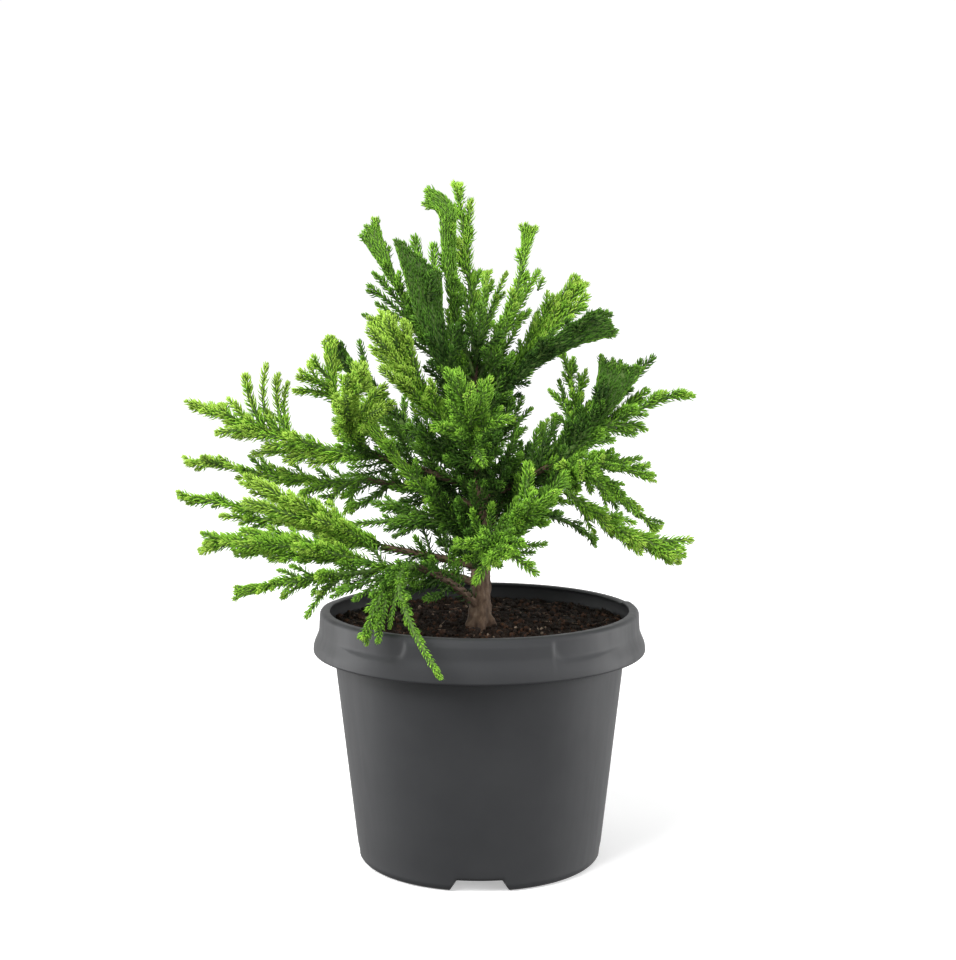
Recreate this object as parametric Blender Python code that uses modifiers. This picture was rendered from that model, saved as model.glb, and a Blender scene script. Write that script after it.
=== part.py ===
"""A small crested cryptomeria in a round nursery pot, about 34 cm tall, in metres, +Z up.

The origin is the middle of the pot's underside. Azimuths are degrees round +Z from +X.
"""
import math
from collections import namedtuple

import bmesh
import bpy
import numpy as np
from mathutils import Vector

# Clearances
GAP = 0.0003
MERGE = 0.00001

# Pot: rim band, tapered wall, foot ring and flat pad
POT_SIDES = 36
WALL = 0.0018
RIM_TOP = 0.1265
LIP_INNER_RADIUS = 0.0745
LIP_DROP = 0.0004
RIM_RADIUS = 0.0795
RIM_ROUND = 0.0022
BAND_RADIUS = 0.0828
BAND_WIDEST = 0.1069
BAND_ROUND = 0.0012
BAND_DRAFT = 0.0022
LEDGE_RADIUS = 0.0724
LEDGE_HEIGHT = 0.1040
WALL_FOOT_RADIUS = 0.0605
CORNER_ROUND = 0.0045
CORNER_INSIDE = 0.0020
FOOT_FLAT = 0.0010
FOOT_INNER_RADIUS = 0.0500
CHANNEL_HEIGHT = 0.0068
PAD_RADIUS = 0.0400
PAD_SLOPE = 0.0020
NOTCH_WIDTH_LOW = 0.0290
NOTCH_WIDTH_HIGH = 0.0195
NOTCH_HEIGHT = 0.0064
NOTCH_AZIMUTHS = (0.0, 90.0, 180.0, 270.0)

# Soil
SOIL_TOP = 0.1165
SOIL_LUMP = 0.0012
SOIL_RINGS = 4
SOIL_SEED = 4

# Trunk, from its cut on the soil to the root of the leading shoot
TRUNK_FOOT = np.array([0.0, 0.0, SOIL_TOP + SOIL_LUMP + GAP])
TRUNK_TOP = np.array([-0.003, 0.004, 0.252])
TRUNK_BOW = np.array([0.004, -0.002, 0.0])
TRUNK_FOOT_RADIUS = 0.0065
TRUNK_TOP_RADIUS = 0.0020
FLARE_RADIUS = 0.0040
FLARE_HEIGHT = 0.0100
FLARE_LOBES = 5
TRUNK_RINGS = 14
TRUNK_COLUMNS = 12
TRUNK_CROWDING = 1.35

# Boughs
BOUGH_RINGS = 6
BOUGH_TIP_RADIUS = 0.0021
BOUGH_FOOT_SHARE = 0.50
BOUGH_TAPER = 0.0006
BOUGH_HANDLE = 0.50

# Shoots: a slim core with needle points standing out of it
NEEDLE_REACH = 0.0048
NEEDLE_SWEEP = 0.0050
RING_PITCH = 0.0085
CORE_RADIUS = 0.0013
STEM_COLUMNS = 6
CREST_COLUMNS = 8
SIDE_COLUMNS = 4
BARE_ON_BOUGH = 0.0100
BARE_ON_TRUNK = 0.0160
FORK_SPREAD = 0.0019
FORK_SWING = 0.60
STEM_HANDLE = 0.42
KEEP_CLEAR = 0.0006

# Side shoots: where on the stem they start and end, how far they lean out, and their sizes
FIRST_SHARE_TRUNK = 0.34
FIRST_SHARE_BOUGH = 0.24
LAST_SHARE = 0.88
TURN_SPREAD = 0.6
LEAN_LEAST = 0.60
LEAN_MOST = 0.85
SIZE_LEAST = 0.80
SIZE_MOST = 1.15
SIZE_AT_ROOT = 1.10
SIZE_LOSS = 0.45
SIDE_BARE = 0.0020
SIDE_REACH = 0.92

# Needles thin out towards a tip, and a crest widens over the last half of its stem
REACH_AT_ROOT = 1.25
REACH_LOSS = 0.60
CREST_START = 0.45
CREST_LENGTH = 0.50
CREST_BOW = 0.80

UP = np.array([0.0, 0.0, 1.0])

# foot: height on the trunk. rise: degrees above level at the foot. reach and tip: where it ends.
Bough = namedtuple("Bough", "name foot azimuth rise reach tip")
BOUGHS = (
    Bough("left_high", 0.185, 184, 22, 0.054, 0.204),
    Bough("left_mid", 0.177, 166, 16, 0.058, 0.189),
    Bough("left_low", 0.147, 186, 14, 0.049, 0.158),
    Bough("left_lower", 0.138, 203, 24, 0.054, 0.150),
    Bough("droop", 0.126, 228, 42, 0.046, 0.153),
    Bough("dark_left", 0.193, 146, 28, 0.044, 0.215),
    Bough("right_high", 0.180, 352, 28, 0.039, 0.200),
    Bough("right_mid", 0.171, 10, 38, 0.043, 0.196),
    Bough("right_low", 0.158, 336, 42, 0.043, 0.188),
    Bough("right_back", 0.149, 42, 30, 0.035, 0.168),
    Bough("front", 0.149, 285, 30, 0.035, 0.166),
    Bough("front_high", 0.189, 264, 35, 0.029, 0.208),
    Bough("back_left", 0.168, 125, 28, 0.045, 0.195),
    Bough("back_mid", 0.184, 90, 30, 0.043, 0.208),
    Bough("back_right", 0.162, 62, 30, 0.043, 0.187),
    Bough("back_low", 0.137, 105, 34, 0.045, 0.158),
)

# carrier: the bough that the stem goes on from, or the trunk at height foot.
# shoots: how many side shoots. side: their length. lift: how much they turn up.
# crest: width of the fan at the stem's tip. rise: degrees above level at the root, where set.
Mass = namedtuple("Mass", "name carrier azimuth reach tip shoots side lift crest seed rise foot",
                  defaults=(None, 0.0))
MASSES = (
    Mass("left_high", "left_high", 184, 0.139, 0.230, 4, 0.032, 1.2, 0.000, 3),
    Mass("crest_left", "left_high", 186, 0.073, 0.261, 3, 0.034, 0.9, 0.012, 19),
    Mass("tuft_left", "left_high", 224, 0.074, 0.247, 3, 0.026, 0.9, 0.014, 20),
    Mass("left_mid", "left_mid", 169, 0.151, 0.194, 4, 0.030, 0.2, 0.000, 5),
    Mass("left_level", "left_low", 182, 0.148, 0.182, 4, 0.030, -0.1, 0.000, 7),
    Mass("left_low", "left_low", 193, 0.113, 0.193, 4, 0.034, 0.2, 0.014, 9, 34),
    Mass("left_lower", "left_lower", 200, 0.138, 0.167, 4, 0.032, 0.1, 0.000, 11),
    Mass("left_bottom", "left_lower", 210, 0.130, 0.146, 3, 0.030, -0.4, 0.008, 13, 12),
    Mass("droop_left", "droop", 237, 0.096, 0.128, 3, 0.024, -0.5, 0.000, 15, 12),
    Mass("droop_front", "droop", 260, 0.100, 0.113, 3, 0.024, -0.6, 0.000, 17, 22),
    Mass("dark_left", "dark_left", 152, 0.083, 0.253, 3, 0.028, 0.6, 0.012, 21),
    Mass("crest_right", "right_high", 350, 0.066, 0.245, 3, 0.030, 0.8, 0.018, 39),
    Mass("feather_right", "right_high", 6, 0.041, 0.254, 4, 0.020, 0.8, 0.000, 40),
    Mass("long_right", "right_high", 352, 0.103, 0.233, 3, 0.028, 0.4, 0.008, 41),
    Mass("right_mid", "right_mid", 357, 0.085, 0.191, 3, 0.026, 0.4, 0.000, 43),
    Mass("right_drop", "right_mid", 19, 0.098, 0.162, 3, 0.026, 0.1, 0.000, 44),
    Mass("right_low", "right_low", 347, 0.096, 0.154, 4, 0.032, 0.2, 0.000, 45),
    Mass("right_inner", "right_low", 314, 0.068, 0.201, 3, 0.026, 0.3, 0.012, 46),
    Mass("right_under", "right_back", 34, 0.072, 0.155, 3, 0.028, 0.0, 0.000, 47),
    Mass("front_low", "front", 274, 0.078, 0.164, 3, 0.026, 0.1, 0.000, 49),
    Mass("front_right", "front", 300, 0.070, 0.192, 3, 0.028, 0.5, 0.008, 53),
    Mass("front_high", "front_high", 266, 0.063, 0.239, 4, 0.030, 0.8, 0.010, 51),
    Mass("back_left", "back_left", 124, 0.105, 0.219, 4, 0.032, 0.5, 0.008, 57),
    Mass("back_mid", "back_mid", 92, 0.102, 0.229, 4, 0.034, 0.6, 0.012, 59),
    Mass("back_right", "back_right", 48, 0.097, 0.209, 4, 0.032, 0.5, 0.000, 61),
    Mass("back_right_low", "back_right", 66, 0.109, 0.180, 3, 0.032, 0.2, 0.000, 62),
    Mass("back_low", "back_low", 88, 0.108, 0.156, 4, 0.032, 0.1, 0.000, 63),
    Mass("back_left_low", "back_low", 132, 0.110, 0.156, 4, 0.032, 0.1, 0.000, 65),
    Mass("left_inner", "trunk", 212, 0.062, 0.222, 3, 0.030, 0.5, 0.008, 66, 30, 0.163),
    Mass("crest_upper_left", "trunk", 204, 0.052, 0.271, 4, 0.030, 0.8, 0.018, 23, 30, 0.205),
    Mass("crest_top_left", "trunk", 180, 0.055, 0.315, 4, 0.032, 0.9, 0.014, 25, 45, 0.230),
    Mass("crest_top_front", "trunk", 229, 0.038, 0.300, 3, 0.028, 0.9, 0.014, 27, 45, 0.217),
    Mass("leader", "trunk", 155, 0.011, 0.337, 4, 0.034, 0.9, 0.000, 29, 90, 0.252),
    Mass("leader_crest", "trunk", 215, 0.024, 0.332, 3, 0.028, 0.9, 0.010, 30, 65, 0.241),
    Mass("top_back", "trunk", 86, 0.049, 0.292, 4, 0.030, 0.9, 0.000, 31, 50, 0.236),
    Mass("crest_top_right", "trunk", 5, 0.024, 0.314, 4, 0.030, 0.9, 0.009, 33, 52, 0.240),
    Mass("fan_right", "trunk", 26, 0.058, 0.287, 3, 0.030, 0.8, 0.016, 35, 40, 0.226),
    Mass("crest_right_dark", "trunk", 342, 0.066, 0.268, 4, 0.030, 0.4, 0.016, 37, 56, 0.219),
    Mass("back_high", "trunk", 112, 0.060, 0.268, 4, 0.032, 0.8, 0.014, 55, 35, 0.212),
)

# Masses whose needles read as mid or deep green; the rest are bright.
MID_GREEN = ("left_mid", "left_level", "left_bottom", "left_high", "crest_left", "crest_right",
             "feather_right", "long_right", "right_mid", "right_drop", "right_low", "top_back",
             "front_low", "front_right", "back_left", "back_right", "back_low", "droop_front")
DEEP_GREEN = ("dark_left", "left_inner", "crest_top_front", "crest_right_dark", "right_under", "back_mid",
              "back_high", "back_right_low", "back_left_low")


def clear_scene():
    """Remove whatever objects the scene holds."""
    for item in list(bpy.data.objects):
        bpy.data.objects.remove(item, do_unlink=True)


def new_collection(name):
    """A collection linked to the scene."""
    group = bpy.data.collections.new(name)
    bpy.context.scene.collection.children.link(group)
    return group


def principled(name, colour, roughness, metallic=0.0):
    """A plain Principled material."""
    material = bpy.data.materials.new(name)
    material.use_nodes = True
    shader = material.node_tree.nodes["Principled BSDF"]
    shader.inputs["Base Color"].default_value = (*colour, 1.0)
    shader.inputs["Roughness"].default_value = roughness
    shader.inputs["Metallic"].default_value = metallic
    return material


def unit(vector):
    """The vector at length 1."""
    return vector / np.linalg.norm(vector)


def arc(start, control, end, steps):
    """Points of a quadratic curve, evenly spaced in its parameter."""
    t = np.linspace(0.0, 1.0, steps)[:, None]
    return (1 - t) ** 2 * start + 2 * t * (1 - t) * control + t ** 2 * end


def place(azimuth, reach, height):
    """The point at this azimuth, distance from the pot's axis, and height."""
    angle = math.radians(azimuth)
    return np.array([reach * math.cos(angle), reach * math.sin(angle), height])


def even_points(line, pitch):
    """The line's points at equal steps of about the pitch, with both ends."""
    lengths = np.concatenate([[0.0], np.cumsum(np.linalg.norm(np.diff(line, axis=0), axis=1))])
    count = max(2, int(round(lengths[-1] / pitch)) + 1)
    marks = np.linspace(0.0, lengths[-1], count)
    return np.stack([np.interp(marks, lengths, line[:, axis]) for axis in range(3)], axis=1)


def frames(line, facing):
    """Tangent, facing and side directions along a line, the facing carried without twist."""
    tangents = np.gradient(line, axis=0)
    tangents /= np.linalg.norm(tangents, axis=1)[:, None]
    faces = []
    current = facing
    for tangent in tangents:
        current = unit(current - tangent * (current @ tangent))
        faces.append(current)
    faces = np.array(faces)
    return tangents, faces, np.cross(faces, tangents)


def mesh_object(name, vertices, faces, group):
    """An object from a vertex array and a face list."""
    mesh = bpy.data.meshes.new(name)
    mesh.from_pydata([tuple(v) for v in vertices], [], faces)
    mesh.update()
    made = bpy.data.objects.new(name, mesh)
    group.objects.link(made)
    return made


def ring_faces(rings, columns):
    """Triangles between each ring of vertices and the next."""
    faces = []
    for ring in range(rings - 1):
        low = ring * columns
        high = low + columns
        for column in range(columns):
            after = (column + 1) % columns
            faces.append((low + column, low + after, high + after))
            faces.append((low + column, high + after, high + column))
    return faces


def baked(made):
    """The object's mesh as its modifiers leave it, put back on the object."""
    bpy.context.view_layer.update()
    graph = bpy.context.evaluated_depsgraph_get()
    mesh = bpy.data.meshes.new_from_object(made.evaluated_get(graph))
    made.modifiers.clear()
    made.data = mesh
    return made


def boolean(target, cutter, operation, solver="EXACT"):
    """Boolean of the target with one object, applied."""
    step = target.modifiers.new(operation.lower(), "BOOLEAN")
    step.operation = operation
    step.object = cutter
    step.solver = solver
    return baked(target)


def finish(made, material, smooth_angle=None):
    """Give the object its one material, and smooth shading where it is round."""
    made.data.materials.clear()
    made.data.materials.append(material)
    if smooth_angle is not None:
        made.data.shade_smooth()
        made.data.set_sharp_from_angle(angle=math.radians(smooth_angle))


def corner(centre, radius, start, end, steps):
    """Profile points of a round corner, from one angle to another in degrees."""
    angles = np.radians(np.linspace(start, end, steps))
    return [(centre[0] + radius * math.cos(a), centre[1] + radius * math.sin(a)) for a in angles]


def wall_radius(height, inset):
    """Radius of the tapered wall at a height, moved inwards by the inset."""
    share = height / LEDGE_HEIGHT
    return WALL_FOOT_RADIUS + (LEDGE_RADIUS - WALL_FOOT_RADIUS) * share - inset


def pot_outer_profile():
    """Outer skin from the rim's top, down the band and the wall, to the middle of the pad."""
    points = corner((RIM_RADIUS - RIM_ROUND, RIM_TOP - RIM_ROUND), RIM_ROUND, 90, 10, 3)
    points.append((BAND_RADIUS - BAND_DRAFT, (RIM_TOP + BAND_WIDEST) / 2))
    points += corner((BAND_RADIUS - BAND_ROUND, BAND_WIDEST), BAND_ROUND, 5, -75, 3)
    points.append((wall_radius(LEDGE_HEIGHT, 0.0), LEDGE_HEIGHT))
    foot = wall_radius(CORNER_ROUND, 0.0) - CORNER_ROUND
    points += corner((foot, CORNER_ROUND), CORNER_ROUND, 0, -80, 3)
    points += [(foot - FOOT_FLAT, 0.0), (FOOT_INNER_RADIUS, 0.0), (FOOT_INNER_RADIUS, CHANNEL_HEIGHT),
               (PAD_RADIUS + PAD_SLOPE, CHANNEL_HEIGHT), (PAD_RADIUS, 0.0), (0.0, 0.0)]
    return points


def pot_inner_profile(inset):
    """Inner skin from the middle of the floor up to under the lip, moved inwards by the inset."""
    floor = CHANNEL_HEIGHT + inset
    under_rim = RIM_TOP - inset
    return [(0.0, inset), (PAD_RADIUS - inset, inset), (PAD_RADIUS + PAD_SLOPE - inset, floor),
            (wall_radius(floor, inset) - CORNER_INSIDE, floor),
            (wall_radius(floor + CORNER_INSIDE, inset), floor + CORNER_INSIDE),
            (wall_radius(LEDGE_HEIGHT, inset), LEDGE_HEIGHT + inset),
            (BAND_RADIUS - inset, BAND_WIDEST - BAND_ROUND + inset),
            (RIM_RADIUS - inset, under_rim)]


def turned(name, points, group):
    """A solid of revolution from a profile that runs down its outer side."""
    mesh = bpy.data.meshes.new(name)
    edges = [(i, i + 1) for i in range(len(points) - 1)]
    mesh.from_pydata([(radius, 0.0, height) for radius, height in points], edges, [])
    made = bpy.data.objects.new(name, mesh)
    group.objects.link(made)
    screw = made.modifiers.new("turn", "SCREW")
    screw.axis = "Z"
    screw.steps = POT_SIDES
    screw.render_steps = POT_SIDES
    screw.use_merge_vertices = True
    screw.merge_threshold = MERGE
    return baked(made)


def notch_cutter(azimuth, group):
    """A block, narrower at its top, that cuts a drainage notch through the foot ring."""
    bpy.ops.mesh.primitive_cube_add(size=1.0)
    made = bpy.context.active_object
    made.name = "notch"
    width_below = 2 * NOTCH_WIDTH_LOW - NOTCH_WIDTH_HIGH
    for vertex in made.data.vertices:
        width = NOTCH_WIDTH_HIGH if vertex.co.z > 0 else width_below
        height = NOTCH_HEIGHT if vertex.co.z > 0 else -NOTCH_HEIGHT
        out = LEDGE_RADIUS if vertex.co.x > 0 else FOOT_INNER_RADIUS - PAD_SLOPE
        vertex.co = Vector((out, math.copysign(width / 2, vertex.co.y), height))
    made.rotation_euler.z = math.radians(azimuth)
    for old in list(made.users_collection):
        old.objects.unlink(made)
    group.objects.link(made)
    made.hide_render = True
    made.display_type = "WIRE"
    return made


def make_pot(parts, cutters, material):
    """The pot: a turned shell with a rim band and a lip, notched at the foot ring."""
    lip = [(LIP_INNER_RADIUS, RIM_TOP - WALL), (LIP_INNER_RADIUS, RIM_TOP - LIP_DROP)]
    pot = turned("pot", pot_inner_profile(WALL) + lip + pot_outer_profile(), parts)
    for azimuth in NOTCH_AZIMUTHS:
        notch = notch_cutter(azimuth, cutters)
        boolean(pot, notch, "DIFFERENCE")
        bpy.data.objects.remove(notch)
    finish(pot, material, smooth_angle=35)


def make_soil(parts, material):
    """The soil that fills the pot, with a lumpy top."""
    inner = pot_inner_profile(WALL + GAP)
    under_lip = inner.pop()
    share = (SOIL_TOP - inner[-1][1]) / (under_lip[1] - inner[-1][1])
    edge = inner[-1][0] + (under_lip[0] - inner[-1][0]) * share
    top = [(edge * ring / SOIL_RINGS, SOIL_TOP) for ring in range(SOIL_RINGS + 1)]
    soil = turned("soil", top + list(reversed(inner)), parts)
    rng = np.random.default_rng(SOIL_SEED)
    for vertex in soil.data.vertices:
        on_top = abs(vertex.co.z - SOIL_TOP) < MERGE
        if on_top and 2 * FLARE_RADIUS < vertex.co.xy.length < edge - SOIL_LUMP:
            vertex.co.z += rng.uniform(-SOIL_LUMP, SOIL_LUMP)
    finish(soil, material)


def trunk_line(steps=41):
    """The trunk's axis: a slight bow from its foot to its top."""
    return arc(TRUNK_FOOT, (TRUNK_FOOT + TRUNK_TOP) / 2 + TRUNK_BOW, TRUNK_TOP, steps)


def trunk_at(height):
    """The trunk's axis point at a height."""
    line = trunk_line()
    return np.array([np.interp(height, line[:, 2], line[:, axis]) for axis in range(3)])


def trunk_radius(height):
    """The trunk's radius: an even taper, and a short flare at the foot."""
    share = (height - TRUNK_FOOT[2]) / (TRUNK_TOP[2] - TRUNK_FOOT[2])
    taper = TRUNK_FOOT_RADIUS + (TRUNK_TOP_RADIUS - TRUNK_FOOT_RADIUS) * share
    flare = FLARE_RADIUS * math.exp(-(height - TRUNK_FOOT[2]) / (FLARE_HEIGHT / 2))
    return taper + flare * 0.5


def trunk_solid(name, group, grown=0.0):
    """The trunk as a loft: round above, with root lobes at the flare. Grown, it is a cutter."""
    shares = np.linspace(0.0, 1.0, TRUNK_RINGS) ** TRUNK_CROWDING
    heights = TRUNK_FOOT[2] + (TRUNK_TOP[2] - TRUNK_FOOT[2]) * shares
    vertices = []
    for height in heights:
        middle = trunk_at(height)
        radius = trunk_radius(height) + grown
        lobe = FLARE_RADIUS * 0.5 * math.exp(-(height - heights[0]) / (FLARE_HEIGHT / 3))
        for column in range(TRUNK_COLUMNS):
            angle = 2 * math.pi * column / TRUNK_COLUMNS
            size = radius + lobe * math.cos(FLARE_LOBES * angle)
            out = np.array([math.cos(angle), math.sin(angle), 0.0])
            vertices.append(middle + out * size)
    faces = ring_faces(TRUNK_RINGS, TRUNK_COLUMNS)
    faces.append(tuple(reversed(range(TRUNK_COLUMNS))))
    faces.append(tuple(range((TRUNK_RINGS - 1) * TRUNK_COLUMNS, TRUNK_RINGS * TRUNK_COLUMNS)))
    if grown:
        vertices[-TRUNK_COLUMNS:] = [vertex + UP * grown for vertex in vertices[-TRUNK_COLUMNS:]]
    return mesh_object(name, vertices, faces, group)


def bough_line(bough, steps=25):
    """A bough's axis, from the trunk's axis to its tip."""
    foot = trunk_at(bough.foot)
    tip = place(bough.azimuth, bough.reach, bough.tip)
    first = unit(place(bough.azimuth, 1.0, math.tan(math.radians(bough.rise))))
    return arc(foot, foot + first * np.linalg.norm(tip - foot) * BOUGH_HANDLE, tip, steps)


def bough_radii(bough, count):
    """A bough's radius along its line, thickest at the trunk."""
    foot = trunk_radius(bough.foot) * BOUGH_FOOT_SHARE
    return np.linspace(max(foot, BOUGH_TIP_RADIUS + BOUGH_TAPER), BOUGH_TIP_RADIUS, count)


def make_bough(bough, parts, cutter, material):
    """One tapering limb, a curve with a bevel, cut back clear of the trunk."""
    line = bough_line(bough, BOUGH_RINGS)
    curve = bpy.data.curves.new("limb", "CURVE")
    curve.dimensions = "3D"
    curve.bevel_depth = 1.0
    curve.bevel_resolution = 1
    curve.use_fill_caps = True
    spline = curve.splines.new("POLY")
    spline.points.add(len(line) - 1)
    for point, where, radius in zip(spline.points, line, bough_radii(bough, len(line))):
        point.co = (*where, 1.0)
        point.radius = radius
    limb = bpy.data.objects.new("limb", curve)
    parts.objects.link(limb)
    bpy.context.view_layer.update()
    graph = bpy.context.evaluated_depsgraph_get()
    mesh = bpy.data.meshes.new_from_object(limb.evaluated_get(graph))
    bpy.data.objects.remove(limb)
    welded = bmesh.new()
    welded.from_mesh(mesh)
    bmesh.ops.remove_doubles(welded, verts=welded.verts, dist=MERGE)
    welded.to_mesh(mesh)
    welded.free()
    made = bpy.data.objects.new("bough_" + bough.name, mesh)
    parts.objects.link(made)
    boolean(made, cutter, "DIFFERENCE")
    finish(made, material, smooth_angle=50)


def fork_offset(mass, limb):
    """Sideways offset of a stem's root, so that stems on one bough's tip stand evenly round it."""
    mates = [m for m in MASSES if m.carrier == mass.carrier]
    if len(mates) == 1:
        return np.zeros(3)
    first = unit(limb[-1] - limb[-2])
    across = unit(np.cross(UP, first))
    above = np.cross(first, across)
    ways = [unit(place(m.azimuth, m.reach, m.tip) - limb[-1]) for m in mates]
    middle = sum(ways) / len(ways)
    turns = [math.atan2((way - middle) @ above, (way - middle) @ across) for way in ways]
    order = sorted(range(len(mates)), key=lambda index: turns[index])
    turn = turns[order[0]] + 2 * math.pi * order.index(mates.index(mass)) / len(mates)
    return (across * math.cos(turn) + above * math.sin(turn)) * FORK_SPREAD


def stem_line(mass, steps=61):
    """The axis of a mass's stem, from its carrier to the mass's furthest tip."""
    tip = place(mass.azimuth, mass.reach, mass.tip)
    if mass.carrier == "trunk":
        foot = trunk_at(mass.foot)
        first = UP
    else:
        carrier = next(b for b in BOUGHS if b.name == mass.carrier)
        line = bough_line(carrier)
        limb_way = unit(line[-1] - line[-2])
        foot = line[-1] + limb_way * (GAP + CORE_RADIUS * 0.5) + fork_offset(mass, line)
        first = unit(limb_way + FORK_SWING * unit(tip - foot))
    if mass.rise is not None and mass.rise < 90:
        span = tip - foot
        level = math.degrees(math.atan2(span[1], span[0]))
        first = unit(place(level, 1.0, math.tan(math.radians(mass.rise))))
    if mass.foot >= TRUNK_TOP[2]:
        foot = TRUNK_TOP + UP * GAP
    return arc(foot, foot + first * np.linalg.norm(tip - foot) * STEM_HANDLE, tip, steps)


Shoot = namedtuple("Shoot", "line facing bare reach crest columns room")


def side_shoot(mass, stem, index, rng):
    """One side shoot, leaving the stem on the left or right by turns and bending up or down."""
    start = FIRST_SHARE_TRUNK if mass.carrier == "trunk" else FIRST_SHARE_BOUGH
    order = (index + 0.5) / mass.shoots
    share = start + (LAST_SHARE - start) * order
    knot = int(round(share * (len(stem) - 1)))
    here = stem[knot]
    along = unit(stem[knot + 1] - stem[knot - 1])
    across = np.cross(UP, along)
    across = unit(across) if np.linalg.norm(across) > 0.3 else np.array([1.0, 0.0, 0.0])
    above = np.cross(along, across)
    turn = math.pi * (index % 2) + rng.uniform(-TURN_SPREAD, TURN_SPREAD)
    outward = math.cos(turn) * across + (0.25 + 0.6 * math.sin(turn)) * above
    heading = unit(along + unit(outward) * rng.uniform(LEAN_LEAST, LEAN_MOST))
    size = mass.side * rng.uniform(SIZE_LEAST, SIZE_MOST) * (SIZE_AT_ROOT - SIZE_LOSS * order)
    control = here + heading * size * 0.5
    end = control + unit(heading + along * 0.4 + mass.lift * UP) * size * 0.5
    line = arc(here, control, end, 13)
    return Shoot(line, above, SIDE_BARE, NEEDLE_REACH * SIDE_REACH, 0.0, SIDE_COLUMNS, None)


def stem_shoot(mass):
    """The mass's stem as a shoot, with a fan at its tip where the mass has a crest."""
    line = stem_line(mass)
    facing = np.cross(unit(line[-1] - line[0]), UP)
    facing = unit(facing) if np.linalg.norm(facing) > 0.2 else np.array([0.0, 1.0, 0.0])
    bare = BARE_ON_TRUNK if mass.carrier == "trunk" else BARE_ON_BOUGH
    if mass.foot >= TRUNK_TOP[2]:
        bare = BARE_ON_BOUGH
    columns = CREST_COLUMNS if mass.crest else STEM_COLUMNS
    return Shoot(line, facing, bare, NEEDLE_REACH, mass.crest, columns, stem_room(mass, line))


def stem_room(mass, line):
    """How far needles may stand out along a stem: half way to the next stem, or clear of a limb."""
    room = np.full(len(line), 1.0)
    for other in MASSES:
        if other is not mass:
            apart = np.linalg.norm(line[:, None, :] - stem_line(other)[None, :, :], axis=2).min(axis=1)
            room = np.minimum(room, apart / 2)
    for bough in BOUGHS:
        limb = bough_line(bough)
        apart = np.linalg.norm(line[:, None, :] - limb[None, :, :], axis=2) - bough_radii(bough, len(limb))
        room = np.minimum(room, apart.min(axis=1))
    return np.maximum(room - KEEP_CLEAR, CORE_RADIUS)


def room_at(shoot, share):
    """The room for needles at a share of the shoot's length."""
    if shoot.room is None:
        return 1.0
    lengths = np.concatenate([[0.0], np.cumsum(np.linalg.norm(np.diff(shoot.line, axis=0), axis=1))])
    return np.interp(share * lengths[-1], lengths, shoot.room)


def shoot_size(shoot, share, length):
    """Needle reach and extra half width of the fan at a share of the shoot's length."""
    room = room_at(shoot, share)
    if share * length < shoot.bare:
        return CORE_RADIUS, 0.0
    reach = min(shoot.reach * min(1.0, REACH_AT_ROOT - REACH_LOSS * share), room)
    rise = np.clip((share - CREST_START) / CREST_LENGTH, 0.0, 1.0)
    width = shoot.crest / 2 * rise * rise * (3 - 2 * rise)
    return reach, min(width, max(room - reach, 0.0))


def line_length(line):
    """The length of a line of points."""
    return np.linalg.norm(np.diff(line, axis=0), axis=1).sum()


def shoot_spheres(shoot):
    """Centres and radii of spheres that hold the shoot, for keeping nodes apart."""
    line = even_points(shoot.line, 0.0025)
    sides = frames(line, shoot.facing)[2]
    centres = []
    radii = []
    for index, point in enumerate(line):
        reach, width = shoot_size(shoot, index / (len(line) - 1), line_length(line))
        for across in ((0.0,) if width < 0.001 else (-1.0, -0.5, 0.0, 0.5, 1.0)):
            centres.append(point + sides[index] * across * width)
            radii.append(reach)
    return np.array(centres), np.array(radii) + KEEP_CLEAR / 2


def limb_spheres(line, radii):
    """Spheres along a limb."""
    fine = even_points(line, 0.0015)
    shares = np.linspace(0.0, 1.0, len(fine))
    return fine, np.interp(shares, np.linspace(0.0, 1.0, len(radii)), radii) + KEEP_CLEAR / 2


def meets(first, second):
    """Whether any sphere of one set touches any of the other."""
    apart = np.linalg.norm(first[0][:, None, :] - second[0][None, :, :], axis=2)
    return bool((apart < first[1][:, None] + second[1][None, :]).any())


def meets_pot(spheres):
    """Whether a shoot reaches the pot, its rim or the soil."""
    centres, radii = spheres
    out = np.linalg.norm(centres[:, :2], axis=1)
    low = centres[:, 2] - radii < RIM_TOP + GAP
    inside = out - radii < BAND_RADIUS + GAP
    over_soil = (out + radii < LIP_INNER_RADIUS) & (centres[:, 2] - radii > SOIL_TOP + 2 * SOIL_LUMP)
    return bool((low & inside & ~over_soil).any())


def plan_masses():
    """Every mass's shoots. A side shoot that meets another node, or the pot, is skipped."""
    stems = {mass.name: stem_shoot(mass) for mass in MASSES}
    taken = {"trunk": limb_spheres(trunk_line(), [trunk_radius(z) for z in trunk_line()[:, 2]])}
    for bough in BOUGHS:
        taken["bough_" + bough.name] = limb_spheres(bough_line(bough), bough_radii(bough, 25))
    for mass in MASSES:
        taken[mass.name] = shoot_spheres(stems[mass.name])
    plan = {}
    for mass in MASSES:
        rng = np.random.default_rng(mass.seed)
        kept = [stems[mass.name]]
        for index in range(mass.shoots):
            shoot = side_shoot(mass, stems[mass.name].line, index, rng)
            spheres = shoot_spheres(shoot)
            others = [held for name, held in taken.items() if name != mass.name]
            if meets_pot(spheres) or any(meets(spheres, held) for held in others):
                continue
            kept.append(shoot)
            own = taken[mass.name]
            taken[mass.name] = (np.vstack([own[0], spheres[0]]), np.concatenate([own[1], spheres[1]]))
        plan[mass.name] = kept
    return plan


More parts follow.
